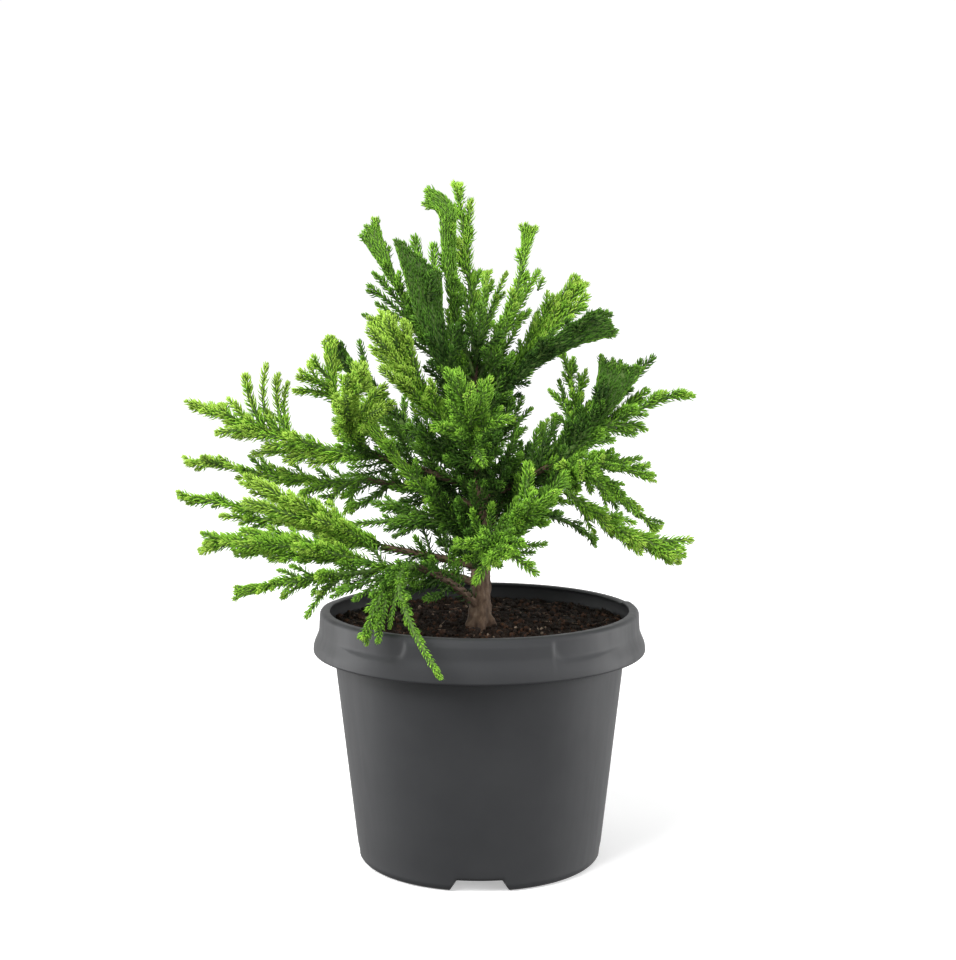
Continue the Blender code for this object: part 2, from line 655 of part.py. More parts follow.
def shoot_solid(name, shoot, group):
    """A loft along the shoot whose ring points stand out by turns, as needles swept forward."""
    line = even_points(shoot.line, RING_PITCH)
    tangents, faces, sides = frames(line, shoot.facing)
    length = line_length(line)
    count = len(line) - 1
    columns = shoot.columns
    angles = 2 * math.pi * np.arange(columns) / columns
    vertices = []
    for ring in range(count):
        share = ring / count
        core = CORE_RADIUS * (1.0 - 0.35 * share)
        reach, width = shoot_size(shoot, share, length)
        for column, angle in enumerate(angles):
            stands = ring > 0 and reach > CORE_RADIUS and (column + ring) % 2 == 0
            size = reach if stands else core
            forward = min(NEEDLE_SWEEP, reach * 0.9) if stands else 0.0
            if ring == count - 1:
                forward += width * CREST_BOW * math.sin(angle) ** 2
            across = sides[ring] * math.cos(angle) * (size + width)
            outward = faces[ring] * math.sin(angle) * size
            vertices.append(line[ring] + across + outward + tangents[ring] * forward)
    tip = len(vertices)
    vertices.append(line[-1])
    root = [tuple(range(columns))[::-1]]
    low = (count - 1) * columns
    cone = [(low + c, low + (c + 1) % columns, tip) for c in range(columns)]
    return mesh_object(name, vertices, ring_faces(count, columns) + root + cone, group)


def largest_piece(made):
    """Drop every loose scrap that a union left, and keep the largest piece."""
    work = bmesh.new()
    work.from_mesh(made.data)
    unseen = set(work.verts)
    pieces = []
    while unseen:
        stack = [unseen.pop()]
        piece = set(stack)
        while stack:
            vertex = stack.pop()
            for edge in vertex.link_edges:
                other = edge.other_vert(vertex)
                if other in unseen:
                    unseen.discard(other)
                    piece.add(other)
                    stack.append(other)
        pieces.append(piece)
    keep = max(pieces, key=len)
    scraps = [v for piece in pieces if piece is not keep for v in piece]
    bmesh.ops.delete(work, geom=scraps, context="VERTS")
    work.to_mesh(made.data)
    work.free()


def make_mass(mass, shoots, parts, cutter, material):
    """One mass of foliage: its stem and side shoots joined in one union, clear of the trunk."""
    made = shoot_solid("foliage_" + mass.name, shoots[0], parts)
    if len(shoots) > 1:
        sides = bpy.data.collections.new("side_shoots")
        bpy.context.scene.collection.children.link(sides)
        for shoot in shoots[1:]:
            shoot_solid("side_shoot", shoot, sides)
        joined = made.modifiers.new("join", "BOOLEAN")
        joined.operation = "UNION"
        joined.operand_type = "COLLECTION"
        joined.collection = sides
        joined.solver = "MANIFOLD"
        baked(made)
        for item in list(sides.objects):
            bpy.data.objects.remove(item)
        bpy.data.collections.remove(sides)
    if mass.carrier == "trunk" and mass.foot < TRUNK_TOP[2]:
        boolean(made, cutter, "DIFFERENCE", "MANIFOLD")
    largest_piece(made)
    finish(made, material)


def main():
    """Build the pot, the soil, the trunk, the boughs and the masses."""
    clear_scene()
    parts = new_collection("potted_cryptomeria")
    cutters = new_collection("cutters")
    plastic = principled("pot_plastic", (0.060, 0.063, 0.068), 0.55)
    peat = principled("potting_soil", (0.035, 0.018, 0.010), 0.95)
    bark = principled("bark", (0.150, 0.072, 0.040), 0.85)
    bright = principled("foliage_bright", (0.200, 0.400, 0.050), 0.55)
    middle = principled("foliage_mid", (0.100, 0.240, 0.035), 0.58)
    deep = principled("foliage_deep", (0.035, 0.110, 0.022), 0.60)

    make_pot(parts, cutters, plastic)
    make_soil(parts, peat)
    trunk = trunk_solid("trunk", parts)
    finish(trunk, bark, smooth_angle=50)
    cutter = trunk_solid("trunk_clearance", cutters, grown=GAP)
    for bough in BOUGHS:
        make_bough(bough, parts, cutter, bark)
    plan = plan_masses()
    for mass in MASSES:
        green = middle if mass.name in MID_GREEN else deep if mass.name in DEEP_GREEN else bright
        make_mass(mass, plan[mass.name], parts, cutter, green)
    bpy.data.objects.remove(cutter)


main()
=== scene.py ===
"""Looks of a small crested cryptomeria in its nursery pot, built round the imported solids.

Metres, +Z up, the origin in the middle of the pot's underside. Azimuths are degrees round +Z from +X, and
the camera looks along +Y. Each mass of foliage grows again from its limb by the rule that shaped its solid,
carried on to finer shoots, and every shoot is clothed in needles.
"""

import math
from collections import namedtuple

import bpy
import numpy as np
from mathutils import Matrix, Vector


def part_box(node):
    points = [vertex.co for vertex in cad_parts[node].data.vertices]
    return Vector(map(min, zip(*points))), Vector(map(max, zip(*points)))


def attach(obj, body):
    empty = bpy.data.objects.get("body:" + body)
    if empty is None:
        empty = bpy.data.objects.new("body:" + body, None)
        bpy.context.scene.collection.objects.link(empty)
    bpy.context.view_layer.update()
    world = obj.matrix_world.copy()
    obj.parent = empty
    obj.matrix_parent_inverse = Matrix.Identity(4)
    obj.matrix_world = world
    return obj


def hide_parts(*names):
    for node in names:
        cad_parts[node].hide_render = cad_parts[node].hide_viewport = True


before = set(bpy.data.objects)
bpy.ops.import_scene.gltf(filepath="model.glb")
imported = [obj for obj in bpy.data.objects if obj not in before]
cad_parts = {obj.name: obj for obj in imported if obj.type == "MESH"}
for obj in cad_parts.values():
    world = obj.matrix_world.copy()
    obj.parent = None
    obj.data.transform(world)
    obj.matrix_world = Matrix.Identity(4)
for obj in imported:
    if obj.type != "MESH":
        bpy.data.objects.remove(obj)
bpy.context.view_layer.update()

UP = np.array([0.0, 0.0, 1.0])
GOLDEN_TURN = math.pi * (3.0 - math.sqrt(5.0))

# Pot, as in its solid
WALL = 0.0018
RIM_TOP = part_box("pot")[1][2]
LIP_INNER_RADIUS = 0.0745
LIP_ROUND = 0.0007
RIM_RADIUS = 0.0795
RIM_ROUND = 0.0022
BAND_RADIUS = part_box("pot")[1][0]
BAND_WIDEST = 0.1069
BAND_ROUND = 0.0012
LEDGE_RADIUS = 0.0724
LEDGE_HEIGHT = 0.1040
LEDGE_ROUND = 0.0010
WALL_FOOT_RADIUS = 0.0605
CORNER_ROUND = 0.0045
CORNER_INSIDE = 0.0020
FOOT_FLAT = 0.0010
FOOT_INNER_RADIUS = 0.0500
CHANNEL_HEIGHT = 0.0068
FLOOR_TOP = CHANNEL_HEIGHT + WALL
PAD_RADIUS = 0.0400
PAD_SLOPE = 0.0020
NOTCH_WIDTH_LOW = 0.0290
NOTCH_WIDTH_HIGH = 0.0195
NOTCH_HEIGHT = 0.0064
NOTCH_AZIMUTHS = (0.0, 90.0, 180.0, 270.0)
POT_COLUMNS = 480

# The rim band's skirt: nearly upright at the top, flaring out lower down, and raised at the front between
# two hollow panels
SKIRT_DRAFT = 0.0009
SKIRT_BEND = (0.1175, 0.1080)
FRONT = 270.0
FRONT_RISE = 0.0010
RIGHT_RISE = 0.65
RISE_LOW = (0.1080, 0.1145)
RISE_HIGH = (0.1225, 0.1258)
PANEL_FROM = 25.5
PANEL_BOTTOM = 0.1150
PANEL_ROUND = 0.0070
PANEL_EDGE = 0.0032
PANEL_FADE = (36.0, 62.0)

# The back of the rim is a step lower than its front, with a short slope at the right and a long one at the
# left, in degrees
BACK_STEP = 0.0008
BACK_FROM = 14.0
BACK_SLOPE_RIGHT = 0.8
BACK_SLOPE_LEFT = 9.0

# Soil
SOIL_TOP = 0.1165
SOIL_RINGS = 64
SOIL_COLUMNS = 200
SOIL_SHOULDER = 0.0035
SOIL_CALM = (0.070, 0.0775)
SOIL_LUMPS = ((0.016, 0.0009), (0.0045, 0.0005), (0.0018, 0.0003))
CRUMB_SEED = 12
CRUMB_COUNT = 3000
CRUMB_REACH = 0.0765
CRUMB_RAISED = 0.25
LUMP_STRETCH = (0.6, 1.3)
LUMP_DENTS = (0.7, 1.25)
FIBRE_SEED = 13
FIBRE_COUNT = 160
FIBRE_REACH = 0.071
FIBRE_LENGTHS = (0.002, 0.007)
FIBRE_RAISED = 0.0006
FIBRE_GIRTH = 0.5
FIBRE_BEND = 0.3

# Trunk and boughs
TRUNK_FOOT = np.array([0.0, 0.0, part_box("trunk")[0][2]])
TRUNK_TOP = np.array([-0.003, 0.004, 0.252])
TRUNK_BOW = np.array([0.004, -0.002, 0.0])
TRUNK_FOOT_RADIUS = 0.0065
TRUNK_TOP_RADIUS = 0.0020
FLARE_RADIUS = 0.0040
FLARE_HEIGHT = 0.0100
FLARE_LOBES = 5
TRUNK_SUNK = 0.0030
BOUGH_TIP_RADIUS = 0.0021
BOUGH_FOOT_SHARE = 0.50
BOUGH_TAPER = 0.0006
BOUGH_HANDLE = 0.50
BARK_PITCH = 0.0008
BARK_RELIEF = 0.08
BARK_ROUND = 3.0
BARK_ALONG = 420.0
BARK_RIDGES = (2.6, 1.1)
BARK_FINE_SHARE = 0.6
BARK_FACING = (1.0, 0.2, 0.1)
TRUNK_COLUMNS = 56
TRUNK_SEED = 31
TRUNK_SHARE = 0.84
BOUGH_COLUMNS = 22
BOUGH_SEED = 40

# Stems and side shoots, by the rule of the solids
GAP = 0.0003
CORE_RADIUS = 0.0013
FORK_SPREAD = 0.0019
FORK_SWING = 0.60
STEM_HANDLE = 0.42
FIRST_SHARE_TRUNK = 0.34
FIRST_SHARE_BOUGH = 0.24
LAST_SHARE = 0.88
TURN_SPREAD = 0.6
SIDE_RISE = 0.25
SIDE_RISE_SWING = 0.6
SIDE_CARRY = 0.4
LEAN_LEAST = 0.60
LEAN_MOST = 0.85
SIZE_LEAST = 0.80
SIZE_MOST = 1.15
SIZE_AT_ROOT = 1.10
SIZE_LOSS = 0.45

Bough = namedtuple("Bough", "name foot azimuth rise reach tip")
BOUGHS = (
    Bough("left_high", 0.185, 184, 22, 0.054, 0.204),
    Bough("left_mid", 0.177, 166, 16, 0.058, 0.189),
    Bough("left_low", 0.147, 186, 14, 0.049, 0.158),
    Bough("left_lower", 0.138, 203, 24, 0.054, 0.150),
    Bough("droop", 0.126, 228, 42, 0.046, 0.153),
    Bough("dark_left", 0.193, 146, 28, 0.044, 0.215),
    Bough("right_high", 0.180, 352, 28, 0.039, 0.200),
    Bough("right_mid", 0.171, 10, 38, 0.043, 0.196),
    Bough("right_low", 0.158, 336, 42, 0.043, 0.188),
    Bough("right_back", 0.149, 42, 30, 0.035, 0.168),
    Bough("front", 0.149, 285, 30, 0.035, 0.166),
    Bough("front_high", 0.189, 264, 35, 0.029, 0.208),
    Bough("back_left", 0.168, 125, 28, 0.045, 0.195),
    Bough("back_mid", 0.184, 90, 30, 0.043, 0.208),
    Bough("back_right", 0.162, 62, 30, 0.043, 0.187),
    Bough("back_low", 0.137, 105, 34, 0.045, 0.158),
)

# Each mass of foliage: the bough or trunk that carries it, the azimuth, distance and height of its furthest
# tip, how many side shoots it has and how long they are, how far they lift, its seed, the tone of its needles
# from 0 for the deepest green to 4 for the palest, the angle at which its stem sets out where the rule's own
# isn't used, and the height of its foot on the trunk. The tones are partly the shoots' own green and partly
# painted light: the masses on the lit left side are set paler
Mass = namedtuple("Mass", "name carrier azimuth reach tip shoots side lift seed tone rise foot",
                  defaults=(None, 0.0))
MASSES = (
    Mass("left_high", "left_high", 184, 0.1395, 0.2295, 4, 0.032, 1.2, 3, 3.5, 8),
    Mass("crest_left", "left_high", 186, 0.073, 0.259, 3, 0.034, 0.9, 19, 3.3),
    Mass("tuft_left", "left_high", 224, 0.074, 0.247, 3, 0.026, 0.9, 20, 3.5),
    Mass("left_mid", "left_mid", 169, 0.151, 0.2005, 4, 0.030, 0.2, 5, 3.2, -8),
    Mass("left_level", "left_low", 182, 0.148, 0.1835, 4, 0.030, -0.1, 7, 2.8, 24),
    Mass("left_low", "left_low", 193, 0.113, 0.193, 4, 0.034, 0.2, 9, 3.4, 27),
    Mass("left_lower", "left_lower", 200, 0.1355, 0.1675, 4, 0.032, 0.1, 11, 2.8, 24),
    Mass("left_bottom", "left_lower", 210, 0.130, 0.146, 3, 0.030, -0.4, 13, 2.6, 2),
    Mass("droop_left", "droop", 237, 0.096, 0.128, 3, 0.024, -0.5, 15, 1.8, 12),
    Mass("droop_front", "droop", 260, 0.100, 0.113, 3, 0.024, -0.6, 17, 2.0, 12),
    Mass("dark_left", "dark_left", 152, 0.083, 0.253, 3, 0.028, 0.6, 21, 0.9),
    Mass("crest_right", "right_high", 351, 0.0690, 0.2465, 3, 0.030, 0.8, 39, 0.9),
    Mass("feather_right", "right_high", 6, 0.041, 0.254, 4, 0.020, 0.8, 40, 2.6),
    Mass("long_right", "right_high", 352, 0.0995, 0.235, 3, 0.028, 0.4, 41, 2.2, 52),
    Mass("right_mid", "right_mid", 357, 0.0825, 0.1925, 3, 0.026, 0.4, 43, 2.3),
    Mass("right_drop", "right_mid", 19, 0.0960, 0.161, 3, 0.026, 0.1, 44, 2.6),
    Mass("right_low", "right_low", 347, 0.0950, 0.1555, 4, 0.032, 0.2, 45, 2.9, -38),
    Mass("right_inner", "right_low", 314, 0.068, 0.201, 3, 0.026, 0.3, 46, 2.7),
    Mass("right_under", "right_back", 34, 0.072, 0.155, 3, 0.028, 0.0, 47, 1.2),
    Mass("front_low", "front", 274, 0.078, 0.164, 3, 0.026, 0.1, 49, 2.3),
    Mass("front_right", "front", 300, 0.070, 0.192, 3, 0.028, 0.5, 53, 2.3),
    Mass("front_high", "front_high", 266, 0.063, 0.239, 4, 0.030, 0.8, 51, 2.6),
    Mass("back_left", "back_left", 124, 0.105, 0.219, 4, 0.032, 0.5, 57, 2.2),
    Mass("back_mid", "back_mid", 92, 0.102, 0.229, 4, 0.034, 0.6, 59, 1.8),
    Mass("back_right", "back_right", 48, 0.097, 0.209, 4, 0.032, 0.5, 61, 2.2),
    Mass("back_right_low", "back_right", 66, 0.109, 0.180, 3, 0.032, 0.2, 62, 1.9),
    Mass("back_low", "back_low", 88, 0.108, 0.156, 4, 0.032, 0.1, 63, 2.1),
    Mass("back_left_low", "back_low", 132, 0.110, 0.156, 4, 0.032, 0.1, 65, 1.9),
    Mass("left_inner", "trunk", 212, 0.062, 0.222, 3, 0.030, 0.5, 66, 3.0, 30, 0.163),
    Mass("crest_upper_left", "trunk", 204, 0.052, 0.271, 4, 0.030, 0.8, 23, 3.7, 30, 0.205),
    Mass("crest_top_left", "trunk", 180, 0.0535, 0.314, 4, 0.032, 0.9, 25, 1.9, 45, 0.230),
    Mass("crest_top_front", "trunk", 222, 0.0395, 0.300, 3, 0.028, 0.9, 27, 0.7, 45, 0.217),
    Mass("leader", "trunk", 155, 0.0125, 0.3355, 4, 0.034, 0.9, 29, 2.7, 90, 0.252),
    Mass("leader_crest", "trunk", 223, 0.0202, 0.333, 3, 0.028, 0.9, 30, 1.9, 65, 0.241),
    Mass("top_back", "trunk", 86, 0.049, 0.292, 4, 0.030, 0.9, 31, 2.3, 50, 0.236),
    Mass("crest_top_right", "trunk", 5, 0.024, 0.314, 4, 0.030, 0.9, 33, 2.7, 52, 0.240),
    Mass("fan_right", "trunk", 26, 0.0565, 0.287, 3, 0.030, 0.8, 35, 3.0, 40, 0.226),
    Mass("crest_right_dark", "trunk", 342, 0.0638, 0.272, 4, 0.030, 0.4, 37, 0.4, 56, 0.219),
    Mass("back_high", "trunk", 112, 0.060, 0.268, 4, 0.032, 0.8, 55, 1.6, 35, 0.212),
)

# Flattened fans: the width that the fan adds to its stem, the share of the stem where it starts, how far its
# edges lie behind its middle and how far one edge is ahead of the other in half widths, and the azimuth that
# it faces where it isn't the usual one
Crest = namedtuple("Crest", "width start bow slant face", defaults=(None,))
CRESTS = {
    "crest_left": Crest(0.0045, 0.55, 0.25, 0.30),
    "left_bottom": Crest(0.0035, 0.70, 0.30, 0.0),
    "dark_left": Crest(0.0070, 0.50, 0.30, 0.0),
    "crest_right": Crest(0.0200, 0.28, -0.15, -0.15),
    "right_inner": Crest(0.0060, 0.45, 0.30, 0.0),
    "front_right": Crest(0.0040, 0.55, 0.30, 0.0, 300.0),
    "front_high": Crest(0.0060, 0.50, 0.30, 0.0, 330.0),
    "back_left": Crest(0.0040, 0.50, 0.30, 0.0),
    "back_mid": Crest(0.0080, 0.50, 0.30, 0.0),
    "left_inner": Crest(0.0040, 0.50, 0.30, 0.0, 250.0),
    "crest_upper_left": Crest(0.0120, 0.40, 0.35, 0.20, 262.0),
    "crest_top_left": Crest(0.0090, 0.66, 0.15, 0.55),
    "crest_top_front": Crest(0.0180, 0.10, 0.10, 1.30, 278.0),
    "leader_crest": Crest(0.0085, 0.15, 0.20, 0.0),
    "crest_top_right": Crest(0.0055, 0.80, 0.05, 0.0),
    "crest_right_dark": Crest(0.0130, 0.25, 0.20, -0.25),
    "back_high": Crest(0.0080, 0.45, 0.30, 0.0),
}

# Shoots whose last part curls over: the share where the curl starts, its degrees, and its axis
CURLS = {
    "leader_crest": (0.87, 80.0, (0.0, -1.0, 0.0)),
    "crest_right_dark": (0.70, 12.0, (0.0, 1.0, 0.0)),
    "left_mid": (0.80, 26.0, (0.0, -1.0, 0.0)),
}

# Stems that bow another way than by the rule: how far the control point of the curve is moved
BOWS = {
    "leader_crest": (-0.0050, 0.0, 0.0),
    "droop_front": (-0.0260, -0.0060, 0.0),
    "left_low": (0.0, -0.0040, -0.0030),
    "right_drop": (-0.0050, 0.0, -0.0060),
}

# How long the side shoots, the short spurs and the needles of a mass are, against the usual. A mass that
# isn't listed grows as usual
Growth = namedtuple("Growth", "sides spurs needles", defaults=(1.0,))
USUAL = Growth(1.0, 1.0)
GROWTH = {
    "left_high": Growth(0.45, 1.40), "crest_left": Growth(0.35, 1.00), "tuft_left": Growth(0.70, 1.30),
    "left_mid": Growth(0.65, 1.05, 0.88), "left_level": Growth(0.60, 1.05, 0.90),
    "left_low": Growth(0.60, 1.50), "left_lower": Growth(0.60, 1.45),
    "left_bottom": Growth(0.50, 0.90, 0.85), "droop_left": Growth(0.55, 0.80, 0.80),
    "droop_front": Growth(0.15, 0.45, 0.62), "left_inner": Growth(0.55, 0.90),
    "crest_upper_left": Growth(0.80, 1.30), "crest_top_left": Growth(0.55, 0.70, 0.85),
    "leader": Growth(0.35, 0.75), "leader_crest": Growth(0.35, 0.75),
    "top_back": Growth(0.40, 0.75, 0.85), "crest_top_right": Growth(0.40, 0.50),
    "fan_right": Growth(0.60, 1.00), "crest_right_dark": Growth(0.70, 0.90),
    "crest_right": Growth(0.80, 1.00), "feather_right": Growth(1.00, 1.00, 0.80),
    "long_right": Growth(0.60, 1.30), "right_mid": Growth(0.70, 1.00, 0.75),
    "right_drop": Growth(0.60, 0.90, 0.72), "right_low": Growth(0.70, 1.35),
    "right_under": Growth(0.45, 0.85, 0.80), "front_low": Growth(0.90, 1.20),
    "front_right": Growth(0.90, 1.25), "front_high": Growth(1.00, 1.25),
}

# Shoots with a place of their own, by the mass whose stem each leaves: the share of the stem, the azimuth,
# distance and height of its tip, how stout it is, from 0 to 1, and how much paler than its mass
Twig = namedtuple("Twig", "share azimuth reach tip stout paler", defaults=(0.0, 0.0))
TWIGS = {
    "left_high": (
        (0.60, 186.0, 0.1142, 0.2434, 0.4), (0.56, 181.1, 0.1045, 0.2482), (0.47, 175.4, 0.1001, 0.2427),
        (0.45, 172.9, 0.0965, 0.2380), (0.68, 186.7, 0.1192, 0.2300), (0.62, 189.0, 0.1281, 0.2159, 0.5),
        (0.50, 185.8, 0.1185, 0.2137, 0.5), (0.35, 184.3, 0.1061, 0.2079, 0.4),
        (0.20, 180.0, 0.1123, 0.2037, 0.3, -0.2), (0.86, 180.6, 0.1350, 0.2270, 0.9, 0.2),
        (0.72, 184.0, 0.1240, 0.2190, 0.7), (0.12, 181.2, 0.0963, 0.2015, 0.8, -0.2),
        (0.05, 181.4, 0.0840, 0.1990, 0.8, -0.3),
    ),
    "crest_left": (
        (0.62, 192.9, 0.0893, 0.2430, 0.4), (0.56, 189.5, 0.0908, 0.2359, 0.3),
        (0.70, 188.0, 0.0830, 0.2500, 0.3),
    ),
    "tuft_left": (
        (0.50, 219.2, 0.0711, 0.2501, 1.0), (0.35, 216.3, 0.0760, 0.2441, 0.9),
        (0.20, 215.9, 0.0768, 0.2361, 0.9), (0.10, 226.0, 0.0660, 0.2300, 0.9, -0.2),
        (0.25, 209.1, 0.0515, 0.2393, 0.5), (0.15, 216.0, 0.0508, 0.2312, 0.5),
    ),
    "left_mid": (
        (0.35, 167.2, 0.1128, 0.1856), (0.45, 167.3, 0.1272, 0.1884), (0.15, 167.5, 0.0924, 0.1822),
        (0.15, 176.1, 0.0890, 0.1829, 0.6, -0.4), (0.08, 177.0, 0.0758, 0.1787, 0.6, -0.6),
        (0.04, 178.2, 0.0637, 0.1744, 0.5, -0.8), (0.80, 174.0, 0.1400, 0.1990, 0.8, 0.3),
    ),
    "left_level": (
        (0.30, 184.5, 0.1275, 0.1741, 0.3, 0.4), (0.86, 180.8, 0.1440, 0.1800, 0.8, 0.3),
        (0.04, 170.0, 0.0890, 0.1800, 0.6, -0.3),
    ),
    "left_low": (
        (0.28, 198.2, 0.1122, 0.1939, 1.0, 0.2), (0.22, 199.8, 0.1183, 0.1850, 1.0),
        (0.12, 198.4, 0.0950, 0.1846, 1.0), (0.05, 203.0, 0.0850, 0.1760, 1.0, -0.2),
        (0.02, 194.1, 0.0904, 0.1723, 1.0), (0.02, 197.2, 0.0811, 0.1628, 1.0, -0.2),
        (0.05, 192.1, 0.0957, 0.1809, 1.0),
    ),
    "left_lower": (
        (0.42, 203.0, 0.1260, 0.1650, 0.8), (0.30, 194.0, 0.1180, 0.1690, 0.6),
        (0.12, 207.0, 0.0980, 0.1640, 0.8, 0.2), (0.50, 199.5, 0.1199, 0.1711, 0.7),
        (0.25, 201.3, 0.0964, 0.1674, 0.7), (0.45, 199.9, 0.1231, 0.1606, 0.6),
        (0.30, 200.9, 0.1068, 0.1572, 0.6), (0.15, 202.2, 0.0927, 0.1562, 0.4),
        (0.86, 199.3, 0.1350, 0.1640, 1.0, 0.2), (0.05, 202.1, 0.0745, 0.1542, 0.9, 0.1),
    ),
    "left_bottom": (
        (0.25, 212.2, 0.0965, 0.1318, 0.1), (0.50, 205.6, 0.1041, 0.1397),
    ),
    "droop_left": (
        (0.35, 241.8, 0.0976, 0.1271, 0.2), (0.15, 222.0, 0.0926, 0.1433, 0.0, -0.6),
        (0.10, 228.6, 0.0881, 0.1426, 0.0, -0.6), (0.20, 231.1, 0.0771, 0.1429, 0.0, -0.6),
    ),
    "droop_front": (
        (0.30, 239.3, 0.0814, 0.1303, 0.0),
    ),
    "crest_right": (
        (0.40, 356.6, 0.0852, 0.2518, 0.3),
    ),
    "feather_right": (
        (0.35, 351.7, 0.0346, 0.2357), (0.30, 347.4, 0.0366, 0.2236), (0.45, 0.0, 0.0502, 0.2393),
        (0.25, 0.0, 0.0552, 0.2294),
    ),
    "long_right": (
        (0.35, 356.5, 0.0824, 0.2357, 0.5), (0.40, 0.0, 0.0770, 0.2136, 0.3),
        (0.15, 8.5, 0.0677, 0.2096, 0.2), (0.45, 356.0, 0.0800, 0.2180, 0.6),
    ),
    "right_mid": (
        (0.25, 343.4, 0.0702, 0.1994, 0.2), (0.30, 4.3, 0.0668, 0.2041, 0.1),
        (0.50, 3.6, 0.0806, 0.2014, 0.2), (0.04, 355.0, 0.0683, 0.1775, 0.6, -0.4),
        (0.05, 347.6, 0.0561, 0.1862, 0.6, 0.2), (0.10, 347.4, 0.0640, 0.1835, 0.6, -0.2),
        (0.15, 351.9, 0.0713, 0.1820, 0.6), (0.10, 354.0, 0.0772, 0.1753, 0.5, -0.2),
    ),
    "right_low": (
        (0.70, 346.3, 0.1055, 0.1645, 0.4), (0.60, 343.1, 0.1031, 0.1579, 0.4),
        (0.15, 338.6, 0.0685, 0.1693, 0.4), (0.35, 340.3, 0.0830, 0.1586, 0.5),
        (0.05, 346.8, 0.0612, 0.1756, 0.7, -0.3),
    ),
    "right_under": (
        (0.30, 10.1, 0.0572, 0.1566), (0.40, 35.0, 0.0697, 0.1624),
    ),
    "front_low": (
        (0.30, 262.0, 0.0740, 0.1700, 0.5), (0.20, 290.0, 0.0760, 0.1560, 0.4),
        (0.10, 268.0, 0.0620, 0.1500, 0.3),
    ),
    "front_right": (
        (0.30, 286.0, 0.0650, 0.1850, 0.5), (0.20, 312.0, 0.0640, 0.1780, 0.5),
        (0.45, 292.0, 0.0600, 0.2050, 0.6),
    ),
    "front_high": (
        (0.30, 250.0, 0.0620, 0.2220, 0.6), (0.35, 285.0, 0.0580, 0.2260, 0.6),
        (0.55, 258.0, 0.0500, 0.2480, 0.6), (0.15, 272.0, 0.0600, 0.2050, 0.4, -0.3),
    ),
    "left_inner": (
        (0.10, 180.0, 0.0526, 0.1792, 0.3, -1.0), (0.08, 188.1, 0.0428, 0.1715, 0.3, -1.2),
    ),
    "crest_upper_left": (
        (0.55, 217.8, 0.0653, 0.2663, 0.9), (0.60, 218.9, 0.0557, 0.2717, 0.9),
        (0.45, 219.8, 0.0469, 0.2697, 0.7), (0.30, 215.1, 0.0522, 0.2564, 0.8),
        (0.15, 217.6, 0.0492, 0.2431, 0.8, -0.3), (0.20, 217.1, 0.0581, 0.2482, 0.7),
        (0.35, 193.3, 0.0522, 0.2553, 0.6),
    ),
    "crest_top_left": (
        (0.42, 185.3, 0.0542, 0.2868, 0.0, -0.5), (0.46, 180.0, 0.0518, 0.2926, 0.0, -0.5),
        (0.36, 189.1, 0.0506, 0.2781, 0.0, -0.5), (0.25, 192.1, 0.0574, 0.2725, 0.0, -0.5),
    ),
    "crest_top_front": (
        (0.40, 171.1, 0.0323, 0.3101, 0.6, 1.2), (0.45, 204.3, 0.0243, 0.3065, 0.5, 1.4),
    ),
    "leader": (
        (0.45, 180.0, 0.0107, 0.3085, 0.3, 0.5), (0.58, 134.3, 0.0060, 0.3280, 0.1, 0.4),
        (0.15, 200.0, 0.0180, 0.3010, 0.5, 0.2),
    ),
    "top_back": (
        (0.45, 84.2, 0.0402, 0.2928, 0.0, 0.6), (0.40, 48.2, 0.0201, 0.2925, 0.0, 0.8),
        (0.30, 72.0, 0.0330, 0.2800, 0.0, 0.6),
    ),
    "crest_top_right": (
        (0.20, 40.2, 0.0388, 0.2934, 0.2, -0.2), (0.30, 45.4, 0.0492, 0.2888, 0.3, -0.2),
        (0.25, 20.0, 0.0330, 0.2790, 0.2, -0.2), (0.10, 21.8, 0.0216, 0.2819, 0.3, -0.2),
    ),
    "fan_right": (
        (0.40, 28.1, 0.0425, 0.2810, 1.0), (0.55, 22.4, 0.0524, 0.2909, 1.0),
        (0.50, 18.8, 0.0545, 0.2865, 0.8), (0.35, 15.2, 0.0555, 0.2815, 0.8),
    ),
}

# Openings in the crown, as seen from the camera: the middle's x and z in the plane of the trunk, and the
# radius. Shoots that would cross one are left out, apart from main stems
OPENINGS = (
    (-0.0536, 0.1682, 0.006), (-0.0448, 0.1566, 0.0055), (-0.0353, 0.1566, 0.0045), (0.0407, 0.1672, 0.006),
    (0.0863, 0.1767, 0.004), (0.0258, 0.2795, 0.004), (-0.0857, 0.2229, 0.006), (-0.0760, 0.2190, 0.003),
    (-0.1246, 0.2363, 0.005), (-0.0283, 0.3130, 0.003), (0.0032, 0.3160, 0.004), (0.0056, 0.3030, 0.004),
    (0.0012, 0.3040, 0.0035),
)

# Finer shoots, which the solids leave out. A pair of shares, sizes or leans is the least and the most of an
# even draw, and SMALL_TONE, SPUR_TONE and CREST_TIP_TONE are the mean and spread of a normal one
FINE_SEED = 1000
SIDE_TONE_SPREAD = 0.30
SMALL_PER_STEM = 8
SMALL_FIRST = 0.06
SMALL_LAST = 0.62
SMALL_SIZE = 0.50
SMALL_SIZES = (0.7, 1.4)
SMALL_LEAN = (35.0, 60.0)
SMALL_LIFT = 0.6
SMALL_CARRY = 0.6
SMALL_TONE = (-0.5, 0.35)
SMALL_BY_SIDES = (0.4, 0.6)
TWIGLETS = 2
TWIGLET_SHARES = (0.12, 0.65)
TWIGLET_SIZE = 0.42
TWIGLET_SIZES = (0.7, 1.2)
TWIGLET_LEAN = (30.0, 55.0)
TWIGLET_LIFT = 0.5
TWIGLET_DARKER = 0.2
SPUR_PITCH = 0.0062
SPUR_FIRST = 0.30
SPUR_LAST = 0.93
SPUR_OVER_CREST = 0.15
SPUR_SIZE = 0.0085
SPUR_SIZES = (0.6, 1.4)
SPUR_LEAN = (22.0, 42.0)
SPUR_LIFT = 0.3
